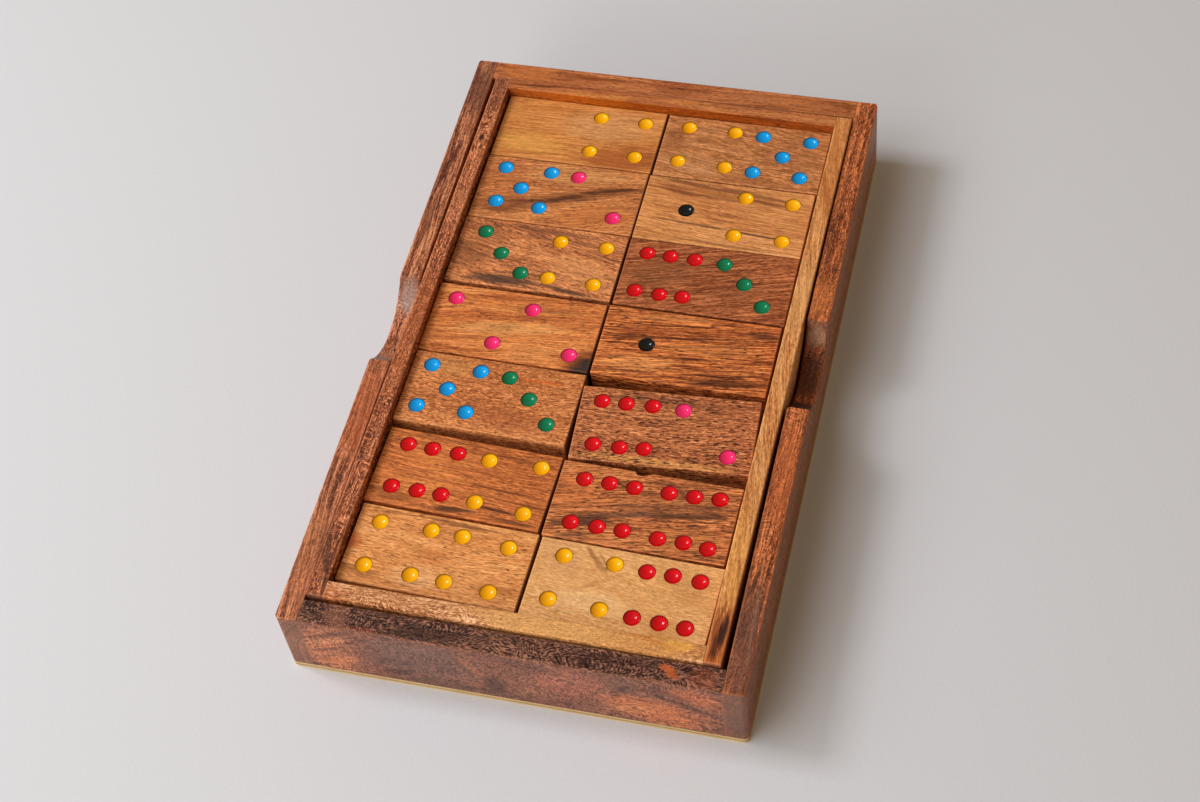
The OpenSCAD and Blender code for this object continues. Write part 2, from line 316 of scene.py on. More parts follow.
from_pith = node(
    figure, "ShaderNodeVectorMath", {0: bend, 1: given["Pith"]}, operation="SUBTRACT"
)
across_only = node(
    figure, "ShaderNodeVectorMath", {0: from_pith, 1: (0.0, 1.0, 1.0)}, operation="MULTIPLY"
)
radius = node(figure, "ShaderNodeVectorMath", {0: across_only}, operation="LENGTH")
layer_count = node(
    figure, "ShaderNodeMath", {0: radius, 1: given["Layer"]}, operation="DIVIDE"
)
layer_seed = node(
    figure,
    "ShaderNodeMath",
    {0: given["Seed"], 1: LAYER_SEED_STEP, 2: layer_count},
    operation="MULTIPLY_ADD",
)
layers = node(
    figure,
    "ShaderNodeTexNoise",
    {"W": layer_seed, "Scale": 1.0, "Detail": 3.0, "Roughness": 0.6},
    noise_dimensions="1D",
)
print("growth layers:", len(figure.nodes), "nodes")

# %% [markdown]
# Fibres are fine streaks along the board. Rays and soft tissue speckle it with short pale
# flecks. Where the grain swirls, as at a branch, the saw cuts the fibres into short curls
# that turn this way and that, so their place is pushed about before their noise is read.
# Slow clouds make one part of a board lighter than another. Pores are short dark dashes
# where the saw opened them, more in some places than in others: a pore shows where its
# noise dips below a level, and the level rises in clusters.

# %% Fibres, flecks, curls, clouds and pores
FIBRE_BLOT = (10.0, 0.42, 0.42)
FLECK_BLOT = (1.5, 0.24, 0.24)
SWIRL_BLOT = (12.0, 8.0, 9.0)
SWIRL = 13.0  # millimetres by which swirling grain is pushed about
CURL_BLOT = (0.7, 0.32, 2.2)
CLOUD_BLOT = (34.0, 8.0, 8.0)
PORE_BLOT = (1.9, 0.26, 0.26)  # real pores are 0.1 to 0.3 mm wide and 1 to 3 mm long
CLUSTER_BLOT = (9.0, 3.0, 3.0)
CLUSTER_RISE = 0.24
PORE_LEVEL = 0.19
PORE_EDGE = 0.04  # how far below the level a pore is at its full depth

fibres = stretched(figure, bent_spot, FIBRE_BLOT, 2.0, 0.6)
flecks = stretched(figure, bent_spot, FLECK_BLOT, 1.0)
swirl = node(
    figure,
    "ShaderNodeVectorMath",
    {0: stretched(figure, spot, SWIRL_BLOT, 1.0).outputs[1], 1: [SWIRL] * 3, 2: spot},
    operation="MULTIPLY_ADD",
)
curls = stretched(figure, swirl, CURL_BLOT, 1.0)
clouds = stretched(figure, spot, CLOUD_BLOT, 2.0)

level = node(
    figure,
    "ShaderNodeMath",
    {0: stretched(figure, spot, CLUSTER_BLOT, 1.0), 1: CLUSTER_RISE, 2: PORE_LEVEL},
    operation="MULTIPLY_ADD",
)
level = node(figure, "ShaderNodeMath", {0: level, 1: given["Openness"]}, operation="ADD")
dip = node(
    figure,
    "ShaderNodeMath",
    {0: level, 1: stretched(figure, bent_spot, PORE_BLOT, 0.0)},
    operation="SUBTRACT",
)
pores = node(
    figure, "ShaderNodeMapRange", {0: dip, 2: PORE_EDGE}, interpolation_type="SMOOTHSTEP"
)
for title, source in (
    ("Layers", layers),
    ("Fibres", fibres),
    ("Flecks", flecks),
    ("Curls", curls),
    ("Pores", pores),
    ("Clouds", clouds),
):
    figure.links.new(source.outputs[0], result[title])
print("hardwood figure:", len(figure.nodes), "nodes")

# %% [markdown]
# Real boards also have marks that belong to one place: a streak of dark heartwood, a
# knot, a pale patch. Each is an ellipse with a ragged edge. Drawn 60 mm long and 1 mm wide
# it is a streak, and drawn round it is a knot.

# %% Mark on a board
# The same group also draws painted shadow and painted highlight in the notch of the right
# wall.
MARK_RAG = (7.0, 0.9, 3.0)  # millimetres: a mark frays along the grain
MARK_FADE = (0.4, 1.1)  # a mark fades between these parts of its half size

mark_tree, given, result = group(
    "mark",
    {
        "Place": "Vector",
        "Middle": "Vector",
        "Turn": "Vector",
        "Half size": "Vector",
        "Ragged": "Float",
    },
    {"Mask": "Float"},
)
inside = node(
    mark_tree,
    "ShaderNodeMapping",
    {
        "Vector": given["Place"],
        "Location": given["Middle"],
        "Rotation": given["Turn"],
        "Scale": given["Half size"],
    },
    vector_type="TEXTURE",
)
flat_inside = node(
    mark_tree, "ShaderNodeVectorMath", {0: inside, 1: (1.0, 1.0, 0.0)}, operation="MULTIPLY"
)
reach = node(mark_tree, "ShaderNodeVectorMath", {0: flat_inside}, operation="LENGTH")
rag = stretched(mark_tree, given["Place"], MARK_RAG, 3.0, 0.6)
rag = node(mark_tree, "ShaderNodeMath", {0: rag, 1: NOISE_MIDDLE}, operation="SUBTRACT")
edge = node(
    mark_tree,
    "ShaderNodeMath",
    {0: rag, 1: given["Ragged"], 2: reach},
    operation="MULTIPLY_ADD",
)
mask = node(
    mark_tree,
    "ShaderNodeMapRange",
    {0: edge, 1: MARK_FADE[0], 2: MARK_FADE[1], 3: 1.0, 4: 0.0},
    interpolation_type="SMOOTHSTEP",
)
mark_tree.links.new(mask.outputs[0], result["Mask"])
print("mark:", len(mark_tree.nodes), "nodes")

# %% [markdown]
# Sanding and handling wear a board's edges, and its rounded edges catch the light, so the
# edges
# are made paler for both: partly wear, partly a painted highlight. A point's distance to the
# nearest edge follows from its distances to the three pairs of faces: on a face one of the
# three is nothing, and the second smallest is the distance to the edge. That is the middle one
# of the three.

# %% Distance to the edge
edge_tree, given, result = group(
    "distance to edge", {"Place": "Vector", "Half size": "Vector"}, {"Distance": "Float"}
)
folded = node(edge_tree, "ShaderNodeVectorMath", {0: given["Place"]}, operation="ABSOLUTE")
to_faces = node(
    edge_tree, "ShaderNodeVectorMath", {0: given["Half size"], 1: folded}, operation="SUBTRACT"
)
x, y, z = node(edge_tree, "ShaderNodeSeparateXYZ", {0: to_faces}).outputs
lesser = node(edge_tree, "ShaderNodeMath", {0: x, 1: y}, operation="MINIMUM")
greater = node(edge_tree, "ShaderNodeMath", {0: x, 1: y}, operation="MAXIMUM")
capped = node(edge_tree, "ShaderNodeMath", {0: greater, 1: z}, operation="MINIMUM")
middle_one = node(edge_tree, "ShaderNodeMath", {0: lesser, 1: capped}, operation="MAXIMUM")
edge_tree.links.new(middle_one.outputs[0], result["Distance"])
print("distance to edge:", len(edge_tree.nodes), "nodes")

# %% [markdown]
# Each board's description holds three tones, from dark to pale, how strong each part of
# the figure is, and the board's own marks. What a description doesn't give is taken from an
# average board. Three helpers come first: one turns a point of the model into a piece's
# own millimetres, one tells which way a surface faces, and one draws the marks. A mark is
# its tone, its strength, its middle, half its length and width, and its turn in degrees.

# %% Helpers for a board's colour
AVERAGE_BOARD = {
    "turn": 0.0,  # degrees from the board's length to its grain
    "pith": (40.0, -30.0),  # millimetres across and up from the board's middle
    "layer": 2.4,  # millimetres from one growth layer to the next
    "wander": 7.0,  # millimetres by which the layers wander
    "curl": 0.4,  # millimetres by which they ripple
    "layers": 1.0,  # from here on, how strongly a part of the figure shows
    "fibres": 1.0,
    "flecks": 1.0,
    "curls": 0.0,
    "clouds": 0.8,
    "openness": 0.0,  # how much more of the wood is pores
    "pores": 0.6,
    "pore_tone": "#3A1E14",
    "wear_and_highlight": 0.3,
    "marks": (),
    "face_marks": (),
}
RAGGED = 1.3  # how far a mark frays, as part of its half size


def board_place(tree, piece):
    """A piece's own millimetres: X along it, Y across it and Z up from its middle."""
    middle, _, angle = lie(piece)
    return node(
        tree,
        "ShaderNodeMapping",
        {
            "Vector": node(tree, "ShaderNodeTexCoord").outputs["Object"],
            "Location": middle,
            "Rotation": (0.0, 0.0, angle),
            "Scale": (MM, MM, MM),
        },
        vector_type="TEXTURE",
    )


def facing_along(tree, direction, least, most):
    """0 to 1 as a face turns its front or its back to a direction."""
    normal = node(tree, "ShaderNodeTexCoord").outputs["Normal"]
    turned = {0: normal, 1: direction}
    turned = node(tree, "ShaderNodeVectorMath", turned, operation="DOT_PRODUCT")
    either_way = node(tree, "ShaderNodeMath", {0: turned}, operation="ABSOLUTE")
    return node(tree, "ShaderNodeMapRange", {0: either_way, 1: least, 2: most})


def marked(tree, place, colour, marks, where=1.0):
    """A colour with a board's marks drawn over it, as far as where says."""
    for tone, strength, x, y, half_length, half_width, degrees in marks:
        mark = {
            "Place": place,
            "Middle": (x, y, 0.0),
            "Turn": (0.0, 0.0, math.radians(degrees)),
            "Half size": (half_length, half_width, 1.0),
            "Ragged": RAGGED,
        }
        amount = node(tree, "ShaderNodeGroup", mark, node_tree=mark_tree)
        for part in (strength, where):
            amount = node(tree, "ShaderNodeMath", {0: amount, 1: part}, operation="MULTIPLY")
        colour = {0: amount, 6: colour, 7: linear(tone)}
        colour = node(tree, "ShaderNodeMix", colour, **BLEND)
    return colour


print("an average board has", len(AVERAGE_BOARD), "numbers and tones")

# %% [markdown]
# The figure's parts add up to how light each point is, and that picks its place between
# the board's tones. Marks are stains in the same wood, so the fine parts of the figure run
# on through them. Marks lie as they are seen from above. Face marks are drawn on the two
# upright faces that run along the board, where Y is the height. The fine parts stand out
# more on those faces, which were sawn and hardly sanded.

# %% Figure and marks of one board
# How far each part of the figure moves a point between the tones
SWINGS = {"Layers": 1.5, "Fibres": 1.5, "Flecks": 1.15, "Curls": 1.5, "Clouds": 1.4}
MID_TONE = 0.5  # as light as the middle tone, where 0 is the darkest and 1 the palest
FINE = ("Fibres", "Flecks", "Curls")
FINE_SWING = 0.6  # the sum of the fine parts at which their shade is at its limit
FINE_SHADE = (0.55, 1.45)  # the darkest and the lightest shade of a mark
FACE_FIGURE = 0.8  # how much more the fine parts stand out on the upright faces
FACE_TURN = (0.5, 0.8)  # how squarely across the board a surface looks, if it is such a face


def figured(tree, wood, board):
    """A board's colour from its figure, and the sum of the figure's fine parts."""
    light, fine = MID_TONE, 0.0
    for title, swing in SWINGS.items():
        weight = swing * board[title.lower()]
        part = {0: wood.outputs[title], 1: NOISE_MIDDLE}
        part = node(tree, "ShaderNodeMath", part, operation="SUBTRACT")
        sums = {0: part, 1: weight, 2: light}
        light = node(tree, "ShaderNodeMath", sums, operation="MULTIPLY_ADD")
        if title in FINE:
            sums = {0: part, 1: weight, 2: fine}
            fine = node(tree, "ShaderNodeMath", sums, operation="MULTIPLY_ADD")
    dark, mid, pale = (linear(tone) for tone in board["tones"])
    lower = node(tree, "ShaderNodeMapRange", {0: light, 2: MID_TONE})
    upper = node(tree, "ShaderNodeMapRange", {0: light, 1: MID_TONE})
    colour = node(tree, "ShaderNodeMix", {0: lower, 6: dark, 7: mid}, **BLEND)
    return node(tree, "ShaderNodeMix", {0: upper, 6: colour, 7: pale}, **BLEND), fine


def with_marks(tree, place, angle, board, colour, fine):
    """A board's colour with its marks, through which the fine figure runs on."""
    if not board["marks"] + board["face_marks"]:
        return colour
    front_view = node(
        tree,
        "ShaderNodeMapping",
        {"Vector": place, "Rotation": (math.radians(90.0), 0.0, 0.0)},
        vector_type="TEXTURE",
    )
    across = (-math.sin(angle), math.cos(angle), 0.0)
    is_face = facing_along(tree, across, *FACE_TURN)
    colour = marked(tree, place, colour, board["marks"])
    colour = marked(tree, front_view, colour, board["face_marks"], is_face)
    more = {0: is_face, 1: FACE_FIGURE, 2: 1.0}
    more = node(tree, "ShaderNodeMath", more, operation="MULTIPLY_ADD")
    fine = node(tree, "ShaderNodeMath", {0: fine, 1: more}, operation="MULTIPLY")
    shade = {0: fine, 1: -FINE_SWING, 2: FINE_SWING, 3: FINE_SHADE[0], 4: FINE_SHADE[1]}
    shade = {0: 1.0, 6: colour, 7: node(tree, "ShaderNodeMapRange", shade)}
    return node(tree, "ShaderNodeMix", shade, blend_type="MULTIPLY", **BLEND)


print("figure of", len(SWINGS), "parts,", len(FINE), "of them fine")

# %% [markdown]
# The rest of a board's look follows mostly from how it was worked. Pores are filled with dark
# oil.
# Edges are made paler, more along some fibres than others: partly rubbed, partly a painted
# highlight where the rounded edges catch the light. End grain drinks more oil, so it is
# darker, and it holds sanding dust that greys it. The wood between the pores has a soft sheen,
# and the pores are dull and a little sunk.

# %% Material of one board
# Paler edges: partly wear, partly a painted highlight where rounded edges catch the light
WEAR_AND_HIGHLIGHT_WIDTH = 0.7  # millimetres
WEAR_AND_HIGHLIGHT_FROM = 0.1  # millimetres from the edge within which the edge is at its palest
WEAR_AND_HIGHLIGHT_BY_FIBRES = 2  # makes up for the fibres' noise, which is a half on average
END_TURN = (0.45, 0.9)  # how squarely along the board a surface looks, if it is end grain
END_GRAIN_TONE = "#CFC4BC"
DUST = 0.3
DUST_TONE = "#9A7864"
WOOD_ROUGHNESS = 0.44
PORE_ROUGHNESS = 0.7
WOOD_SPECULAR = 0.3  # below the usual 0.5, because the oil has soaked in
PORE_SINK = -1.5  # how deep a pore is beside the relief of the fibres
RELIEF = 0.1 * MM


def hardwood(name, piece, description, seed):
    """The material of one board of oiled hardwood."""
    board = {**AVERAGE_BOARD, **description}
    material, tree, shader = new_material(name)
    _, half, angle = lie(piece)
    place = board_place(tree, piece)
    numbers = {
        "Place": place,
        "Seed": seed,
        "Turn": (0.0, 0.0, math.radians(board["turn"])),
        "Pith": (0.0, *board["pith"]),
        "Layer": board["layer"],
        "Wander": board["wander"],
        "Curl": board["curl"],
        "Openness": board["openness"],
    }
    wood = node(tree, "ShaderNodeGroup", numbers, node_tree=figure)
    pores, fibres = wood.outputs["Pores"], wood.outputs["Fibres"]
    colour, fine = figured(tree, wood, board)
    colour = with_marks(tree, place, angle, board, colour, fine)

    pore = node(tree, "ShaderNodeMath", {0: pores, 1: board["pores"]}, operation="MULTIPLY")
    colour = {0: pore, 6: colour, 7: linear(board["pore_tone"])}
    colour = node(tree, "ShaderNodeMix", colour, **BLEND)

    # Painted highlight and wear: the edges are mixed towards the palest tone
    rim = {"Place": place, "Half size": half / MM}
    rim = node(tree, "ShaderNodeGroup", rim, node_tree=edge_tree)
    most = board["wear_and_highlight"] * WEAR_AND_HIGHLIGHT_BY_FIBRES
    wear_and_highlight = {0: rim, 1: WEAR_AND_HIGHLIGHT_FROM, 2: WEAR_AND_HIGHLIGHT_WIDTH, 3: most, 4: 0.0}
    wear_and_highlight = node(tree, "ShaderNodeMapRange", wear_and_highlight)
    wear_and_highlight = node(tree, "ShaderNodeMath", {0: wear_and_highlight, 1: fibres}, operation="MULTIPLY")
    colour = {0: wear_and_highlight, 6: colour, 7: linear(board["tones"][2])}
    colour = node(tree, "ShaderNodeMix", colour, **BLEND)

    along = (math.cos(angle), math.sin(angle), 0.0)
    end_grain = facing_along(tree, along, *END_TURN)
    colour = {0: end_grain, 6: colour, 7: linear(END_GRAIN_TONE)}
    colour = node(tree, "ShaderNodeMix", colour, blend_type="MULTIPLY", **BLEND)
    dusty = node(tree, "ShaderNodeMath", {0: end_grain, 1: DUST}, operation="MULTIPLY")
    colour = {0: dusty, 6: colour, 7: linear(DUST_TONE)}
    colour = node(tree, "ShaderNodeMix", colour, **BLEND)

    dull = {0: pores, 3: WOOD_ROUGHNESS, 4: PORE_ROUGHNESS}
    dull = node(tree, "ShaderNodeMapRange", dull)
    relief = {0: pore, 1: PORE_SINK, 2: fibres}
    relief = node(tree, "ShaderNodeMath", relief, operation="MULTIPLY_ADD")
    bump = {"Height": relief, "Strength": 0.4, "Distance": RELIEF}
    bump = node(tree, "ShaderNodeBump", bump)
    tree.links.new(colour.outputs[2], shader.inputs["Base Color"])
    tree.links.new(dull.outputs[0], shader.inputs["Roughness"])
    tree.links.new(bump.outputs[0], shader.inputs["Normal"])
    shader.inputs["Specular IOR Level"].default_value = WOOD_SPECULAR
    return material


def dress(piece, material):
    """Puts one material on a CAD piece."""
    mesh = nodes[piece].data
    mesh.materials.clear()
    mesh.materials.append(material)


print("ready to dress", len(nodes), "pieces")

# %% [markdown]
# ## Box and tray
# Each board has its own tones and marks, as in the photograph. In a board's millimetres X
# runs along its grain and Y across it. On the long boards X points to the back.

# %% Boards of the box and the tray
# In the notch of the right wall a few marks are painted shadow and painted highlight, not
# marks in the wood.
BOARDS = {
    "left_wall": {
        "tones": ("#5B2D1C", "#9A5639", "#C6835C"),
        "pith": (-30, -12), "turn": 2, "layer": 1.3, "layers": 1.56, "fibres": 1.2,
        "curls": 0.7,
        "marks": (
            ("#B46D45", 0.5, -82, 0, 20, 5, 3),
            ("#AA562F", 0.6, -34, 0, 20, 5, 0),
            ("#703D2B", 0.6, 37, 0.6, 20, 1.2, -3),
            ("#49251D", 0.8, 58, 0.4, 12, 1, -6),
            ("#5D362B", 0.7, 89, 0, 14, 5, 0),
            ("#A0877F", 0.75, 9.5, -0.5, 5, 3.6, 0),
            ("#88706A", 0.6, -14.5, 0, 2, 4, 0),
        ),
    },
    "right_wall": {
        "tones": ("#602E1A", "#A65831", "#D17B49"),
        "pith": (-30, -12), "turn": -2, "layer": 1.4, "layers": 1.3, "curls": 1,
        "marks": (
            ("#684134", 0.85, -87, 0, 24, 6, 2),
            ("#8C6551", 0.5, -80, -1, 16, 0.7, 2),
            ("#3F2820", 0.7, -68, 1, 6, 1, -8),
            ("#BB6335", 0.6, -34, 0, 22, 4, 2),
            ("#C6713C", 0.6, 25, 0.5, 9, 4, 0),
            # Pale at the notch's back end: partly its end grain, partly a painted highlight
            # where that end faces the light
            ("#BA967A", 0.7, 14.5, 0, 2.2, 4, 0),
            ("#4B2A1E", 0.6, 50, 1.4, 24, 0.6, -1),
            # These two dark marks are painted shadow: they darken the notch's front end and
            # floor, which lie in shade
            ("#31190F", 0.95, -8.5, 0, 4.5, 5, 0),
            ("#4F2D20", 0.8, 4, 0, 9, 5, 0),
        ),
        "face_marks": (
            ("#92542F", 0.9, 0, 0, 140, 60, 0),
        ),
    },
    "front_wall": {
        "tones": ("#21100B", "#4B2B23", "#8E604B"),
        "pith": (9, 26), "layer": 3.2, "curl": 1, "layers": 0.4, "fibres": 0.5, "flecks": 1,
        "curls": 1.9, "clouds": 0.6, "pores": 0.4,
        "marks": (
            ("#20100C", 0.65, -21, -0.6, 16, 2.6, 3),
            ("#9D644B", 0.4, -46, 0, 4, 5, 20),
            ("#8A442E", 0.5, -39, -2.8, 6, 1, 0),
            ("#341813", 0.5, 27, 0.6, 14, 2.2, 2),
            ("#8D4831", 0.5, 50, -0.5, 5, 4, 0),
            ("#B0562D", 1, 41.6, 0.4, 3.4, 1.5, -35),
        ),
        "face_marks": (
            ("#8E5A45", 0.85, 0, 0, 90, 40, 0),
            ("#745245", 0.9, -24, 1.5, 19, 13, 0),
            ("#63443A", 0.7, -31, -2, 6, 2.6, 10),
            ("#7F5C4D", 0.7, -24, 6, 12, 3, 0),
            ("#A4654B", 0.8, -10.5, 3, 6.5, 1.6, -55),
            ("#BA724D", 0.9, -49.5, -1, 8.6, 14, 0),
            ("#C17F56", 0.8, -49, 3, 9, 1.3, 22),
            ("#744431", 0.85, -48, 6.6, 9, 1.2, 26),
            ("#794935", 0.8, -48.5, -0.6, 8, 0.9, 24),
            ("#7F4F3A", 0.6, -47.5, -4, 8, 0.6, 18),
            ("#C3764D", 0.7, -47.5, -7, 7, 3, 20),
            ("#482E29", 0.7, -31, -7, 6, 2.2, 8),
            ("#4F352C", 0.8, -4.5, -5, 4, 6, 0),
            ("#614437", 0.7, -17, -10, 24, 3.4, 2),
            ("#9F5E48", 0.8, 16, 2.4, 11.5, 8.5, 15),
            ("#A96A54", 0.4, 15, 4, 7, 4, 10),
            ("#A46E50", 0.6, 4, -5, 5, 1, 60),
            ("#704D3C", 0.8, 30, 6, 4, 7, 12),
            ("#583A30", 0.9, 29, 2.5, 1.3, 5, -28),
            ("#BA6C44", 1, 38, -4.4, 17, 7.6, -10),
            ("#B46745", 0.9, 49, 6, 9, 5, -20),
            ("#6A4231", 0.9, 45, 1.6, 15, 1.3, -22),
            ("#744735", 0.7, 41, 6.6, 11, 1.4, -26),
            ("#C17D4D", 0.6, 32, -5, 7, 3, 10),
            ("#7F513A", 0.6, 50, -6, 9, 0.8, -14),
            ("#6F4438", 0.7, 4, 8.5, 12, 3, -8),
            ("#6F4438", 0.6, 8, -9.8, 14, 2, 6),
            ("#7F4E3C", 0.6, -3, 2, 3, 8, 20),
        ),
    },
    "back_wall": {
        "tones": ("#844321", "#B16538", "#CC7F4E"),
        "pith": (-40, 4), "layer": 2, "curl": 0.3, "layers": 1.5, "fibres": 0.6, "flecks": 0.6,
        "marks": (
            ("#C7733B", 0.6, -44, 0, 11, 4, 0),
            ("#7B3B1D", 0.7, -22, 0.6, 10, 0.8, 3),
            ("#8A4724", 0.6, 8, 0.8, 9, 0.7, 3),
            ("#B86F3F", 0.5, 40, 0, 12, 3, 0),
            ("#8B4523", 0.5, 1, 0, 8, 5, 0),
            ("#B97246", 0.6, 24, 0, 14, 2.4, 0),
            ("#5E2F1A", 0.7, 2.5, 0.4, 1.6, 0.5, 0),
        ),
    },
    "tray_left_wall": {
        "tones": ("#592B19", "#9C5333", "#D2885D"),
        "pith": (25, -10), "layer": 1.6, "curl": 0.6, "fibres": 0.8, "flecks": 1, "curls": 1.3,
        "marks": (
            ("#502D1E", 0.8, -80, 0.4, 12, 1.3, 12),
            ("#AF6037", 0.5, -5, 0, 26, 4, 0),
            ("#BF7751", 0.4, 40, 0, 12, 4, 0),
            ("#3C2117", 1, 68, 0.2, 1.4, 0.9, 0),
            ("#77432F", 0.6, 86, 0, 12, 4, 0),
        ),
    },
    "tray_right_wall": {
        "tones": ("#9F582B", "#C78048", "#E1A365"),
        "pith": (-35, -10), "turn": 9, "layer": 1.8, "layers": 1.3, "fibres": 0.8,
        "pores": 0.3,
        "marks": (
            ("#BD7139", 0.6, 74, 0, 26, 4, 0),
            ("#DFA467", 0.5, 24, 0, 16, 4, 0),
            ("#B45825", 0.9, -86, -0.4, 14, 4, -4),
            ("#DF9A4F", 0.6, -62, 0, 18, 3.5, 8),
            ("#894A23", 0.6, -66, -1.2, 12, 0.5, 10),
            ("#3E1F15", 1, -85, -0.5, 8.5, 1.9, -6),
            ("#7D4321", 0.7, -80, 0.8, 7, 0.7, -10),
        ),
    },
    "tray_front_wall": {
        "tones": ("#85472A", "#BF7D4B", "#E6B387"),
        "pith": (60, 6), "layer": 3, "curl": 1.2, "layers": 0.4, "fibres": 0.6, "flecks": 0.7,
        "curls": 1.15, "pores": 0.3,
        "marks": (
            ("#CE8F50", 0.9, 24, 0, 40, 9, 0),
            ("#B05B36", 0.5, -49, 0, 6, 5, 0),
            ("#D69C5D", 0.8, 10, 0, 22, 6, 0),
            ("#E2A047", 0.7, 43, 0, 6, 3.4, 0),
            ("#C2752F", 0.6, 35, -0.3, 9, 1, -14),
            ("#B46B36", 0.6, 49.5, 0, 2, 4, 0),
        ),
    },
    "tray_back_wall": {
        "tones": ("#8A4625", "#B16436", "#CA814D"),
        "pith": (60, 6), "layer": 2.2, "fibres": 0.7, "flecks": 0.7,
        "marks": (
            ("#5E3120", 0.8, -40, 1.5, 11, 0.6, 2),
            ("#C7793A", 0.6, 5, 0.3, 8, 1.3, 0),
            ("#D08137", 0.5, -22, -0.6, 16, 1.3, 0),
            ("#9A5B3C", 0.5, 26, 0.6, 16, 1.6, 0),
        ),
        "face_marks": (
            ("#9D480A", 0.9, 0, 0, 90, 60, 0),
            ("#C1641A", 0.6, -30, 12, 18, 8, 0),
            ("#6E2A06", 0.6, 34, 10.6, 22, 0.5, 1),
            ("#6E2A06", 0.6, 10, 11.6, 12, 0.4, 0),
        ),
    },
}
for number, (piece, board) in enumerate(BOARDS.items()):
    dress(piece, hardwood("oiled_hardwood_" + piece, piece, board, number + 1.0))
print(len(BOARDS), "boards")

# %% [markdown]
# The panels under the box and the tray are raw three-ply: the grain of the middle veneer
# runs across the other two, so the edge shows a darker line of cut ends between two pale
# ones. A veneer is peeled off its log in one turning cut, which makes broad, soft bands.
# Raw wood has no oil, so it is pale and dull.

# %% Plywood panels
VENEER_EDGE = 0.34  # millimetres from the panel's middle to its outer veneers
GLUE_LINE = 0.06  # millimetres on each side over which one veneer's colour gives way
CORE_SHOWS = 0.8
BAND_BLOT = (60.0, 7.0, 7.0)
PLY_FIBRE_BLOT = (16.0, 0.5, 0.3)
CUT_END_BLOT = (0.5, 0.5, 3.0)
PLY_FIBRES = 0.35  # how strongly the fibres show
PLY_ROUGHNESS = 0.75
PLY_RELIEF = 0.06 * MM


def plywood(piece):
    """Raw three-ply, its edge in thin layers."""
    material, tree, shader = new_material("raw_plywood_" + piece)
    place = board_place(tree, piece)
    height = node(tree, "ShaderNodeSeparateXYZ", {0: place}).outputs[2]
    from_middle = node(tree, "ShaderNodeMath", {0: height}, operation="ABSOLUTE")
    low, high = VENEER_EDGE - GLUE_LINE, VENEER_EDGE + GLUE_LINE
    core = {0: from_middle, 1: low, 2: high, 3: CORE_SHOWS, 4: 0.0}
    core = node(tree, "ShaderNodeMapRange", core)
    bands = stretched(tree, place, BAND_BLOT, 2.0)
    fibre = stretched(tree, place, PLY_FIBRE_BLOT, 3.0, 0.6)
    cut_ends = stretched(tree, place, CUT_END_BLOT, 2.0, 0.6)
    veneer = {0: bands, 6: linear("#BE9C68"), 7: linear("#DDC190")}
    veneer = node(tree, "ShaderNodeMix", veneer, **BLEND)
    veneer = {0: PLY_FIBRES, 6: veneer, 7: fibre}
    veneer = node(tree, "ShaderNodeMix", veneer, blend_type="OVERLAY", **BLEND)
    ends = {0: cut_ends, 6: linear("#7E6240"), 7: linear("#B4935F")}
    ends = node(tree, "ShaderNodeMix", ends, **BLEND)
    colour = node(tree, "ShaderNodeMix", {0: core, 6: veneer, 7: ends}, **BLEND)
    bump = {"Height": fibre, "Strength": 0.4, "Distance": PLY_RELIEF}
    bump = node(tree, "ShaderNodeBump", bump)
    tree.links.new(colour.outputs[2], shader.inputs["Base Color"])
    tree.links.new(bump.outputs[0], shader.inputs["Normal"])
    shader.inputs["Roughness"].default_value = PLY_ROUGHNESS
    return material


PANELS = ("base_panel", "tray_floor")
for piece in PANELS:
    dress(piece, plywood(piece))
print(len(PANELS), "plywood panels")

# %% [markdown]
# ## Dominoes
# The tiles were cut from many boards, so no two match: one is pale and even, the next dark
# and streaked, and a few hold a knot or the edge of the heartwood. Their grain runs along
# them, with a few degrees of turn, because they were cut without regard to it. Each is
# named for its two ends.

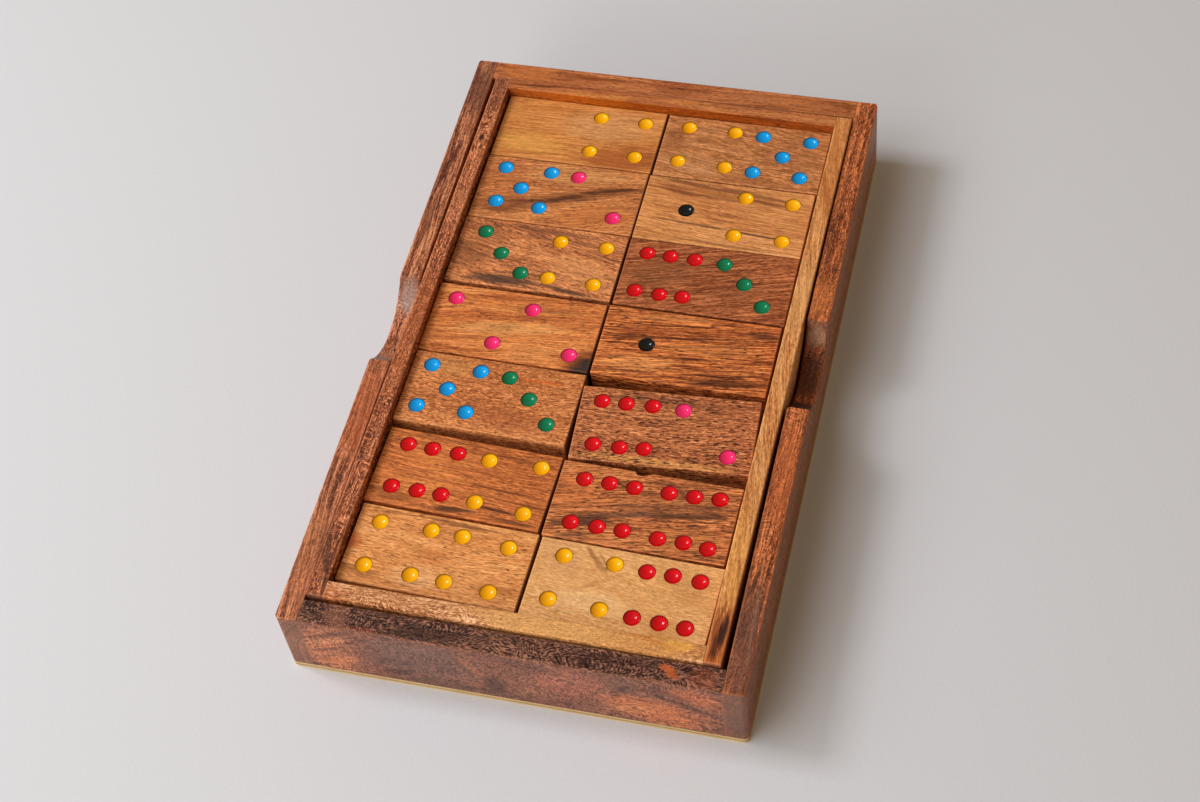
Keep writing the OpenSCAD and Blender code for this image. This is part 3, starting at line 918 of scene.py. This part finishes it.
# %% Upper dominoes
TILES = {
    "0_4": {
        "tones": ("#AF6832", "#C97F40", "#D89151"),
        "turn": 3, "layer": 4, "layers": 0.36, "fibres": 1, "flecks": 0.8, "clouds": 0.6,
        "pores": 0.08,
        "marks": (
            ("#CC9361", 0.5, 7, 4, 17, 8, 6),
            ("#DB994A", 0.75, -14, -6, 13, 5, -4),
            ("#A95C2C", 0.95, 16, -7.8, 17, 6.6, 6),
            ("#B0672E", 0.6, -12, 8.5, 14, 1.4, 6),
            ("#9F5927", 0.6, -12, -9.8, 15, 0.6, 5),
            ("#9B5727", 0.5, 2, -4.6, 14, 0.4, 3),
        ),
    },
    "5_2": {
        "tones": ("#904D28", "#C07341", "#D89156"),
        "turn": 8, "layer": 2.6, "layers": 0.63,
        "marks": (
            ("#97572F", 0.55, -5, -4.6, 17, 2.4, 17),
            ("#D4995E", 0.4, 4, 7.8, 19, 4.4, 5),
            ("#AF6233", 0.5, -16, 1, 9, 8, 0),
            ("#C16F38", 0.7, 12, -7, 14, 5.5, 8),
            ("#8A4E2B", 0.8, 6, 0.4, 22, 2.2, 15),
            ("#512A18", 0.95, -9.5, -4.2, 8, 0.9, 9),
            ("#58301B", 0.95, 14.5, 3.3, 12, 0.8, 15),
            ("#733F24", 0.8, -15, -8, 7, 1.3, 12),
            ("#79472D", 0.6, 3, -2.4, 12, 0.6, 14),
            ("#58301B", 0.95, 1.5, -1.6, 8, 1.2, 19),
            ("#8A4E2B", 0.7, -15, -6.5, 11, 4, 10),
        ),
    },
    "3_4": {
        "tones": ("#7A442D", "#C17444", "#E69860"),
        "turn": -10, "layer": 2, "curl": 1.2, "layers": 0.56, "fibres": 1, "flecks": 0.8,
        "curls": 0.5,
        "marks": (
            ("#D9925A", 0.5, 14, -3.5, 12, 6, -15),
            ("#A45F36", 0.5, -16, 6, 9, 5, 0),
            ("#75442D", 0.7, 3, 9.8, 17, 1.2, -2),
            ("#844E32", 0.7, 13, 7, 11, 0.9, -8),
            ("#4F372D", 0.9, -8, -9.6, 13, 2.5, 2),
            ("#4F362B", 0.8, 12, -10.6, 9, 1, -8),
            ("#714634", 0.6, -4, -6.6, 10, 0.7, 4),
            ("#8B5331", 0.55, -20, -1.5, 8, 6, 0),
        ),
    },
    "2_2": {
        "tones": ("#A35329", "#CD763D", "#E69554"),
        "turn": 5, "layer": 2.2, "layers": 0.72, "flecks": 0.8, "openness": 0.01, "wear_and_highlight": 0.08,
        "marks": (
            ("#E09F5D", 0.6, -2, -1, 20, 3, 8),
            ("#924F29", 0.6, -14, -6.5, 11, 1, 10),
            ("#99572D", 0.6, 8, 7, 16, 1.6, 3),
            ("#DE9352", 0.5, 7, -8.6, 10, 3, 16),
            ("#9D4B23", 0.95, 22.8, -10, 10.5, 5.8, 42),
            ("#352A27", 1, 24, -11.2, 9.4, 5.2, 42),
        ),
    },
    "5_3": {
        "tones": ("#9C542C", "#BD6F3C", "#D78C55"),
        "curl": 1.8, "layers": 0.36, "flecks": 1.7, "curls": 0.5, "pores": 0.35,
        "marks": (
            ("#C98A4D", 0.5, -14, 8, 12, 3.6, 0),
            ("#CB5F27", 0.7, 13, 7.4, 9, 0.7, 0),
            ("#A55931", 0.5, 8, -7, 15, 4, 0),
        ),
    },
    "6_4": {
        "tones": ("#924B23", "#BE6834", "#D88243"),
        "turn": -3, "layer": 1.8, "layers": 0.54, "flecks": 1, "openness": 0.015,
        "marks": (
            ("#7D421F", 0.7, 14, 8.6, 12, 0.9, -4),
            ("#8C4D26", 0.6, -8, 10.6, 13, 0.9, 0),
            ("#6D371C", 0.8, 10, -1.8, 16, 0.45, -2),
            ("#7C4120", 0.7, 12, -4.6, 13, 0.4, -3),
            ("#412314", 0.85, 11.5, -8, 8, 0.7, -3),
            ("#3E2213", 0.8, -0.5, -10.4, 7.5, 1.1, 6),
            ("#4F2A18", 0.7, 17, -10.8, 8, 0.9, -4),
            ("#814623", 0.6, -18, -9, 7, 3, 0),
        ),
    },
    "4_4": {
        "tones": ("#BE6C34", "#D88D4E", "#EBA86A"),
        "turn": -2, "layer": 2, "layers": 0.36, "fibres": 0.8, "openness": 0.02, "pores": 0.6,
        "marks": (
            ("#C3733C", 0.6, -1, -0.8, 5, 3, 0),
            ("#C85F2C", 0.7, -23.5, 0, 3, 2.6, 0),
            ("#BB6F38", 0.5, 17, -8, 10, 4.6, -6),
            ("#E7AF7C", 0.5, -4, -7.6, 9, 4, 0),
            ("#7F4A27", 0.8, 4, 10.4, 12, 0.8, -2),
            ("#8F5027", 0.5, -19, -8.6, 7, 2, -8),
            ("#9E5D2E", 0.7, -17, 10.4, 8, 0.6, 4),
        ),
    },
    "4_5": {
        "tones": ("#A36134", "#B87442", "#CC8859"),
        "turn": -8, "layer": 3, "layers": 0.43, "fibres": 1.3, "flecks": 1.4, "clouds": 0.6,
        "pores": 0.4,
        "marks": (
            ("#C48654", 0.6, -14, -6, 12, 5, -12),
            ("#C28252", 0.5, -14, 7.6, 10, 3, -10),
            ("#A8653B", 0.5, 16, 3, 10, 8, 0),
            ("#A15F35", 0.5, 0, 0.6, 18, 0.9, -12),
            ("#95552F", 0.6, -21, 2, 4, 8, 0),
            ("#9B5A34", 0.6, 4, -10.6, 18, 1.2, -4),
            ("#C78C61", 0.5, -14, -8, 10, 1.6, -10),
        ),
    },
    "1_4": {
        "tones": ("#AE6738", "#CF874D", "#DF9D63"),
        "turn": -5, "layer": 2.2, "layers": 0.37, "flecks": 0.7, "pores": 0.3,
        "marks": (
            ("#A76235", 0.7, -4, 8.4, 25, 3.4, -4),
            ("#7E4E2C", 0.8, -10, 10.4, 14, 0.6, -5),
            ("#895430", 0.8, 8, 9, 17, 0.6, -8),
            ("#935D34", 0.7, -8, 6.6, 17, 0.5, -4),
            ("#935F36", 0.7, 14, 5.6, 12, 0.5, -8),
            ("#72462C", 0.9, -9, -4.5, 13, 0.5, -4),
            ("#613D27", 0.9, 11, -5.8, 11, 0.45, -4),
            ("#8F5A34", 0.7, 0, -10.8, 22, 0.5, -2),
            ("#894C2B", 0.9, -13, 6.8, 12, 0.7, -5),
            ("#8D5231", 0.9, -4, 9.4, 19, 0.6, -5),
            ("#935630", 0.9, 10, 6.8, 12, 0.6, -7),
            ("#8D5231", 0.6, -16, 8.4, 8, 0.5, -5),
        ),
    },
    "6_3": {
        "tones": ("#7B3C1D", "#9A532E", "#B86E44"),
        "turn": 15, "layer": 1.1, "wander": 4, "layers": 1.27, "fibres": 1.5, "flecks": 1.5,
        "clouds": 0.5, "pores": 0.3,
        "marks": (
            ("#874F2E", 0.6, -14, 0, 12, 7, 8),
            ("#7B4027", 0.5, 6, -3, 10, 3, 8),
        ),
    },
    "1_0": {
        "tones": ("#6D3217", "#B25C2D", "#DE8748"),
        "turn": 6, "layer": 1, "wander": 3, "layers": 0.13, "fibres": 2, "flecks": 0.9,
        "clouds": 0.12, "openness": 0, "pores": 0.85,
        "marks": (
            ("#CF7F46", 0.7, -6, 10, 17, 1.6, 6),
            ("#8A4120", 0.4, -13, 4.6, 13, 2.6, 5),
            ("#7F3D1F", 0.4, 12, 6.6, 15, 2.2, 8),
            ("#4D271A", 0.7, 20, 8, 6, 1.6, 0),
            ("#CB7B42", 0.6, 6, 1, 16, 2.6, 6),
            ("#D88B4E", 0.7, -13, -7, 13, 3.6, 6),
            ("#73361B", 0.4, 13, -6, 13, 2.2, 5),
            ("#451E0E", 0.85, 12, -9.6, 14, 1.6, 6),
            ("#461F11", 0.85, -10, 2.6, 13, 0.35, 5),
            ("#461F11", 0.85, 4, 4.4, 13, 0.35, 7),
            ("#4F2513", 0.8, -2, -3.4, 15, 0.35, 6),
            ("#3A1B0D", 0.85, 8, -7.8, 14, 0.4, 5),
            ("#461F11", 0.8, -14, -9.6, 10, 0.35, 4),
            ("#461F11", 0.75, -6, 7.4, 15, 0.35, 4),
        ),
    },
    "6_2": {
        "tones": ("#854527", "#B9693E", "#DC925D"),
        "turn": 0, "layer": 3, "layers": 0.07, "fibres": 0.9, "flecks": 1.1, "curls": 0.6,
        "clouds": 0.2, "openness": 0.1, "pores": 0.95, "pore_tone": "#3F1F12",
        "marks": (
            ("#DA9553", 0.8, -2, -10.8, 26, 1.5, -1),
            ("#854B2F", 0.6, -2, 9, 20, 2, 0),
            ("#321D12", 0.9, -2, 2.6, 1.3, 0.5, 10),
        ),
    },
    "6_6": {
        "tones": ("#784327", "#B66638", "#D5854E"),
        "turn": 8, "layer": 1.7, "layers": 0.69, "fibres": 1.7, "openness": 0.03, "pores": 0.8,
        "marks": (
            ("#C66E3A", 0.6, -18, 4, 9, 7, 0),
            ("#BF703C", 0.6, 12, -7, 14, 4, 6),
            ("#854F32", 0.7, 8, 2, 20, 3, 9),
            ("#4F3022", 0.85, -15, -5.8, 10, 2.4, 16),
            ("#634232", 0.8, -2, -1.6, 12, 1, 10),
            ("#593420", 0.85, 13, 0.8, 12, 1, 8),
            ("#864E2E", 0.6, 10, 6.4, 14, 0.7, 6),
            ("#5F3622", 0.8, -16, -10.6, 9, 0.9, 16),
        ),
    },
    "4_6": {
        "tones": ("#C58848", "#DB9D60", "#E9B278"),
        "turn": -6, "layer": 5, "layers": 0.3, "fibres": 0.5, "flecks": 1, "curls": 0.3,
        "clouds": 0.6, "pores": 0.08,
        "marks": (
            ("#CE9560", 0.6, -18, 7, 9, 5.6, -30),
            ("#CA8B52", 0.6, 15, 5, 12, 4, -28),
            ("#D28B4C", 0.5, 12, -8, 13, 4, -30),
            ("#A7703F", 0.75, -8.2, 7.2, 5.4, 1, -42),
            ("#A7703F", 0.75, -9.8, 8.6, 4.6, 0.8, -52),
            ("#AA7950", 0.8, -6.4, 7.6, 4.6, 0.5, -50),
            ("#C68750", 0.6, -8, 0.6, 9, 0.8, 32),
            ("#E7B880", 0.6, -8, -5, 14, 4.6, 0),
        ),
    },
}
# Where the tree's middle was, in millimetres across and up, for each tile in turn
PITHS = ((30.0, -20.0), (-26.0, -14.0), (18.0, -34.0), (-40.0, -9.0), (9.0, -24.0))
UPPER_WOOD = 20.0  # seeds from here on, so that no tile shares its wood with a board
LOWER_WOOD = 40.0


def ends_of(piece):
    """The two ends in a piece's name: upper_tile_0_4 gives 0_4."""
    return "_".join(piece.split("_")[-2:])


upper_tiles = sorted(name for name in nodes if name.startswith("upper_tile"))
for number, piece in enumerate(upper_tiles):
    board = {"pith": PITHS[number % len(PITHS)], **TILES[ends_of(piece)]}
    dress(piece, hardwood("oiled_hardwood_" + piece, piece, board, UPPER_WOOD + number))
print(len(upper_tiles), "upper dominoes")

# %% [markdown]
# The lower dominoes come from the same boards, so each takes the tones of another tile,
# and the marks of none. The steps of five go once through all fourteen, in another order.

# %% Lower dominoes
BOARD_STEP, FIRST_BOARD, FIRST_PITH = 5, 3, 2

lower_tiles = sorted(name for name in nodes if name.startswith("lower_tile"))
boards = list(TILES.values())
for number, piece in enumerate(lower_tiles):
    board = boards[(BOARD_STEP * number + FIRST_BOARD) % len(boards)]
    board = {**board, "marks": (), "pith": PITHS[(number + FIRST_PITH) % len(PITHS)]}
    dress(piece, hardwood("oiled_hardwood_" + piece, piece, board, LOWER_WOOD + number))
print(len(lower_tiles), "lower dominoes")

# %% [markdown]
# ## Enamel
# Each pip is a shallow hollow, drilled by hand and painted with gloss enamel, one colour
# for each number. The paint lies thick and smooth and has a hard gloss, so one soft glint
# sits in every hollow. Where two brush drops met, the colour is a little uneven.

# %% Enamel colours
ENAMELS = {
    "1": ("enamel_black", "#121316"),
    "2": ("enamel_pink", "#F82C72"),
    "3": ("enamel_green", "#007B4F"),
    "4": ("enamel_yellow", "#FFB300"),
    "5": ("enamel_blue", "#009DE2"),
    "6": ("enamel_red", "#D90012"),
}
UNEVEN_SPOT = 1400.0  # noise scale of spots under 1 mm
UNEVEN = 0.92  # the deepest colour, as part of the paint's own
RIM_SHADE_SPAN = (0.82, 0.99)  # parts of the pip's radius over which the painted shade at the rim deepens
RIM_SHADE = 0.85  # how dark the painted shade at the rim is: it stands for the shade just inside the hollow's rim
RIM_SHADE_TONE = "#1C0E08"
ENAMEL_ROUGHNESS = 0.14
ENAMEL_SPECULAR = 0.42
ENAMEL_RELIEF = 0.05 * MM


def enamel(name, colour):
    """Gloss enamel, brushed into a hollow: deep colour under a hard clear shine."""
    material, tree, shader = new_material("gloss_" + name)
    place = node(tree, "ShaderNodeTexCoord").outputs["Object"]
    spots = node(tree, "ShaderNodeTexNoise", {"Vector": place, "Scale": UNEVEN_SPOT})
    deep = (*(c * UNEVEN for c in linear(colour)[:3]), 1.0)
    tint = {0: spots, 6: deep, 7: linear(colour)}
    tint = node(tree, "ShaderNodeMix", tint, **BLEND)
    # Painted shade: the colour darkens towards the rim, for the shade that falls just inside
    # the hollow's rim
    out = node(tree, "ShaderNodeAttribute", attribute_name="rim").outputs["Fac"]
    rim_shade = {0: out, 1: RIM_SHADE_SPAN[0], 2: RIM_SHADE_SPAN[1], 3: 0.0, 4: RIM_SHADE}
    rim_shade = node(tree, "ShaderNodeMapRange", rim_shade)
    tint = {0: rim_shade, 6: tint, 7: linear(RIM_SHADE_TONE)}
    tint = node(tree, "ShaderNodeMix", tint, **BLEND)
    bump = {"Height": spots, "Strength": 0.12, "Distance": ENAMEL_RELIEF}
    bump = node(tree, "ShaderNodeBump", bump)
    tree.links.new(tint.outputs[2], shader.inputs["Base Color"])
    tree.links.new(bump.outputs[0], shader.inputs["Normal"])
    shader.inputs["Roughness"].default_value = ENAMEL_ROUGHNESS
    shader.inputs["Specular IOR Level"].default_value = ENAMEL_SPECULAR
    return material


enamels = {number: enamel(*facts) for number, facts in ENAMELS.items()}
print(len(enamels), "enamels")

# %% [markdown]
# Every pip's coat of enamel is made by Geometry Nodes on one point for each hollow. A ball
# of radius 1 goes to each point. Its upper half is then pulled into the coat's dished
# face, part of a larger ball, and its lower half into the coat's back a little below.
# Seeded luck makes each pip a little deeper or shallower, gives some a dent from the
# drill's point, and lets some paint run over the rim. What a point must still know after
# the balls are merged is stored on it under a name: its place on its ball, its hollow and
# its luck.

# %% Geometry tree of the enamel coats
COAT_SIDES = 36
COAT_RINGS = 16
VECTOR_ON_POINTS = {"data_type": "FLOAT_VECTOR", "domain": "POINT"}
UPPER_PIP = (2.35 * MM, 1.2 * MM)  # radius and depth
LOWER_PIP = (2.25 * MM, 1.12 * MM)

coat_tree = bpy.data.node_groups.new("enamel coats", "GeometryNodeTree")
for title, kind, value in (
    ("Geometry", "Geometry", None),
    ("Radius", "Float", UPPER_PIP[0]),
    ("Depth", "Float", UPPER_PIP[1]),
    ("Sides", "Int", COAT_SIDES),
    ("Seed", "Int", 0),
    ("Enamel", "Material", None),
):
    socket = coat_tree.interface.new_socket(
        title, in_out="INPUT", socket_type="NodeSocket" + kind
    )
    if value is not None:
        socket.default_value = value
coat_tree.interface.new_socket(
    "Geometry", in_out="OUTPUT", socket_type="NodeSocketGeometry"
)
given = coat_tree.nodes.new("NodeGroupInput").outputs

here = node(coat_tree, "GeometryNodeInputPosition")
ball = {"Segments": given["Sides"], "Rings": COAT_RINGS, "Radius": 1.0}
ball = node(coat_tree, "GeometryNodeMeshUVSphere", ball)
ball = {"Geometry": ball, "Name": "on ball", "Value": here}
ball = node(coat_tree, "GeometryNodeStoreNamedAttribute", ball, **VECTOR_ON_POINTS)
points = node(coat_tree, "GeometryNodeMeshToPoints", {"Mesh": given["Geometry"]})
luck = {"Seed": given["Seed"]}
luck = node(coat_tree, "FunctionNodeRandomValue", luck, data_type="FLOAT_VECTOR")
for name, vector in (("hollow", here), ("luck", luck)):
    points = {"Geometry": points, "Name": name, "Value": vector}
    points = node(coat_tree, "GeometryNodeStoreNamedAttribute", points, **VECTOR_ON_POINTS)
placed = {"Points": points, "Instance": ball}
placed = node(coat_tree, "GeometryNodeInstanceOnPoints", placed)
real = node(coat_tree, "GeometryNodeRealizeInstances", {0: placed})
print("enamel coats:", len(coat_tree.nodes), "nodes put a ball on each hollow's point")

# %% [markdown]
# The dished face is part of a ball whose radius follows from the pip's radius and depth,
# as in every shallow bowl: the two squares added, over twice the depth. At a point of the
# bowl, half a chord and the ball's radius give the height below the rim.

# %% Height of the coat's face
DEPTH_LUCK = 0.10

on_ball, lucks, hollow = (
    node(
        coat_tree, "GeometryNodeInputNamedAttribute", {"Name": name}, data_type="FLOAT_VECTOR"
    )
    for name in ("on ball", "luck", "hollow")
)
flat = node(
    coat_tree, "ShaderNodeVectorMath", {0: on_ball, 1: (1, 1, 0)}, operation="MULTIPLY"
)
out = node(coat_tree, "ShaderNodeVectorMath", {0: flat}, operation="LENGTH")
deeper, dented, _ = node(coat_tree, "ShaderNodeSeparateXYZ", {0: lucks}).outputs

depth = node(coat_tree, "ShaderNodeMapRange", {0: deeper, 3: 1 - DEPTH_LUCK})
depth = node(
    coat_tree, "ShaderNodeMath", {0: given["Depth"], 1: depth}, operation="MULTIPLY"
)
squares = [
    node(coat_tree, "ShaderNodeMath", {0: size, 1: size}, operation="MULTIPLY")
    for size in (given["Radius"], depth)
]
squares = node(coat_tree, "ShaderNodeMath", dict(enumerate(squares)), operation="ADD")
curve = node(coat_tree, "ShaderNodeMath", {0: squares, 1: depth}, operation="DIVIDE")
curve = node(coat_tree, "ShaderNodeMath", {0: curve, 1: 0.5}, operation="MULTIPLY")
chord = node(
    coat_tree, "ShaderNodeMath", {0: out, 1: given["Radius"]}, operation="MULTIPLY"
)
squares = [
    node(coat_tree, "ShaderNodeMath", {0: size, 1: size}, operation="MULTIPLY")
    for size in (curve, chord)
]
rest = node(coat_tree, "ShaderNodeMath", dict(enumerate(squares)), operation="SUBTRACT")
sag = node(coat_tree, "ShaderNodeMath", {0: rest}, operation="SQRT")
height = node(coat_tree, "ShaderNodeMath", {0: curve, 1: depth}, operation="SUBTRACT")
height = node(coat_tree, "ShaderNodeMath", {0: height, 1: sag}, operation="SUBTRACT")
print("height of the face:", len(coat_tree.nodes), "nodes")

# %% [markdown]
# The back of the coat lies one thickness lower. The drill's point left a small dent in the
# middle of some hollows, and the paint shows it. The whole coat then lies a hair above the
# wood, so that the two faces never fight for the same place.

# %% The coat's back, dent and lift
COAT_THICKNESS = 0.12 * MM
COAT_LIFT = 0.015 * MM
DENT_RIM = 0.16  # part of the pip's radius
DENT_DEPTH = 0.10 * MM

side = node(coat_tree, "ShaderNodeSeparateXYZ", {0: on_ball}).outputs[2]
back = node(coat_tree, "ShaderNodeMath", {0: side, 1: 0.0}, operation="MINIMUM")
height = {0: back, 1: COAT_THICKNESS, 2: height}
height = node(coat_tree, "ShaderNodeMath", height, operation="MULTIPLY_ADD")
dent = node(coat_tree, "ShaderNodeMapRange", {0: out, 2: DENT_RIM, 3: -DENT_DEPTH, 4: 0.0})
height = {0: dent, 1: dented, 2: height}
height = node(coat_tree, "ShaderNodeMath", height, operation="MULTIPLY_ADD")
height = node(coat_tree, "ShaderNodeMath", {0: height, 1: COAT_LIFT}, operation="ADD")
print("back, dent and lift:", len(coat_tree.nodes), "nodes")

# %% [markdown]
# Round the rim the brush strayed: a noise that goes once round each pip says where the
# paint runs over, and each pip reads it at a place of its own. Then every point of the
# balls goes to its place in its hollow, and the helpers' attributes are removed.

# %% The uneven rim and the finished coats
SPILL = 0.55 * MM
SPILL_SPOT = 1.3
SPILL_FROM = (0.55, 0.85)  # the noise from which paint runs over, and runs furthest
SPILL_APART = (60, 60, 60)  # so far apart that no two pips read the same noise
OUTER_RING = 0.985  # part of the radius from which a point moves with the spill

spill = node(
    coat_tree,
    "ShaderNodeVectorMath",
    {0: lucks, 1: SPILL_APART, 2: flat},
    operation="MULTIPLY_ADD",
)
spill = {"Vector": spill, "Scale": SPILL_SPOT, "Detail": 1.0}
spill = node(coat_tree, "ShaderNodeTexNoise", spill)
spill = {0: spill, 1: SPILL_FROM[0], 2: SPILL_FROM[1], 3: 0.0, 4: SPILL}
spill = node(coat_tree, "ShaderNodeMapRange", spill)
at_rim = node(coat_tree, "ShaderNodeMapRange", {0: out, 1: OUTER_RING, 2: 1.0})
spill = {0: spill, 1: at_rim, 2: given["Radius"]}
spill = node(coat_tree, "ShaderNodeMath", spill, operation="MULTIPLY_ADD")
spread = node(
    coat_tree, "ShaderNodeVectorMath", {0: flat, "Scale": spill}, operation="SCALE"
)
shape = spread
for part in (node(coat_tree, "ShaderNodeCombineXYZ", {2: height}), hollow):
    shape = node(coat_tree, "ShaderNodeVectorMath", {0: shape, 1: part}, operation="ADD")
rimmed = node(
    coat_tree,
    "GeometryNodeStoreNamedAttribute",
    {"Geometry": real, "Name": "rim", "Value": out},
    data_type="FLOAT",
    domain="POINT",
)
coat = node(coat_tree, "GeometryNodeSetPosition", {"Geometry": rimmed, "Position": shape})
for name in ("hollow", "luck", "on ball"):
    coat = {"Geometry": coat, "Name": name}
    coat = node(coat_tree, "GeometryNodeRemoveAttribute", coat)
coat = node(coat_tree, "GeometryNodeSetShadeSmooth", {0: coat})
coat = {"Geometry": coat, "Material": given["Enamel"]}
coat = node(coat_tree, "GeometryNodeSetMaterial", coat)
node(coat_tree, "NodeGroupOutput", {0: coat})
print("enamel coats:", len(coat_tree.nodes), "nodes")

# %% [markdown]
# The hollows themselves are in the model, so their places are read from it: the lowest
# rings of each hollow lie close round its middle.

# %% Where the hollows are
BOWL_FLOOR = (0.8 * MM, 1.35 * MM)  # depths between which only a hollow's bottom lies
BOWL_GAP = 2.6 * MM


def hollows(piece, top):
    """Middles of a piece's hollows, at the height of the top face."""
    found = []
    for vertex in nodes[piece].data.vertices:
        if BOWL_FLOOR[0] < top - vertex.co.z < BOWL_FLOOR[1]:
            near = [ring for ring in found if (ring[0] - vertex.co).xy.length < BOWL_GAP]
            if near:
                near[0].append(vertex.co.copy())
            else:
                found.append([vertex.co.copy()])
    middles = []
    for ring in found:
        xs, ys = sorted(p.x for p in ring), sorted(p.y for p in ring)
        middles.append(Vector(((xs[0] + xs[-1]) / 2, (ys[0] + ys[-1]) / 2, top)))
    return middles


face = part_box("upper_tile_6_6")[1].z
print("the double six has", len(hollows("upper_pips_6_6", face)), "hollows")

# %% [markdown]
# Each end of each domino gets its coats, as one plain mesh that rides with the domino. On
# an upper domino they stand for the model's own enamel. A lower domino is one piece with
# its enamel in the model, so its coats lie just over that.

# %% Enamel in every hollow
UPPER_LUCK = 100  # seeds from here on, two for each domino
LOWER_LUCK = 200


def coats(layer, piece, holder, pip, seed):
    """Enamel for both ends of one domino. Returns how many pips it has."""
    ends = ends_of(piece)
    middle, _, angle = lie(piece)
    along = Vector((math.cos(angle), math.sin(angle), 0.0))
    spots = hollows(holder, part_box(piece)[1].z)
    for side, number in (("left", ends[0]), ("right", ends[-1])):
        sign = -1 if side == "left" else 1
        mine = [spot for spot in spots if sign * (spot - middle).dot(along) > 0]
        if not mine:
            continue
        mesh = bpy.data.meshes.new("hollows")
        mesh.from_pydata(mine, [], [])
        made = bpy.data.objects.new(f"{layer}_enamel_{ends}_{side}", mesh)
        bpy.context.scene.collection.objects.link(made)
        modifier = made.modifiers.new("coats", "NODES")
        modifier.node_group = coat_tree
        wanted = {"Radius": pip[0], "Depth": pip[1], "Enamel": enamels[number], "Seed": seed}
        for item in coat_tree.interface.items_tree:
            if item.in_out == "INPUT" and item.name in wanted:
                modifier[item.identifier] = wanted[item.name]
        shaped = made.evaluated_get(bpy.context.evaluated_depsgraph_get())
        solid = bpy.data.meshes.new_from_object(shaped)
        made.modifiers.clear()
        made.data = solid
        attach(made, f"{layer}_domino_{ends}")
        if holder != piece:
            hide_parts(holder)
        seed += 1
    return len(spots)


count = 0
for number, piece in enumerate(upper_tiles):
    holder = "upper_pips_" + ends_of(piece)
    count += coats("upper", piece, holder, UPPER_PIP, UPPER_LUCK + 2 * number)
for number, piece in enumerate(lower_tiles):
    count += coats("lower", piece, piece, LOWER_PIP, LOWER_LUCK + 2 * number)
print(count, "pips")
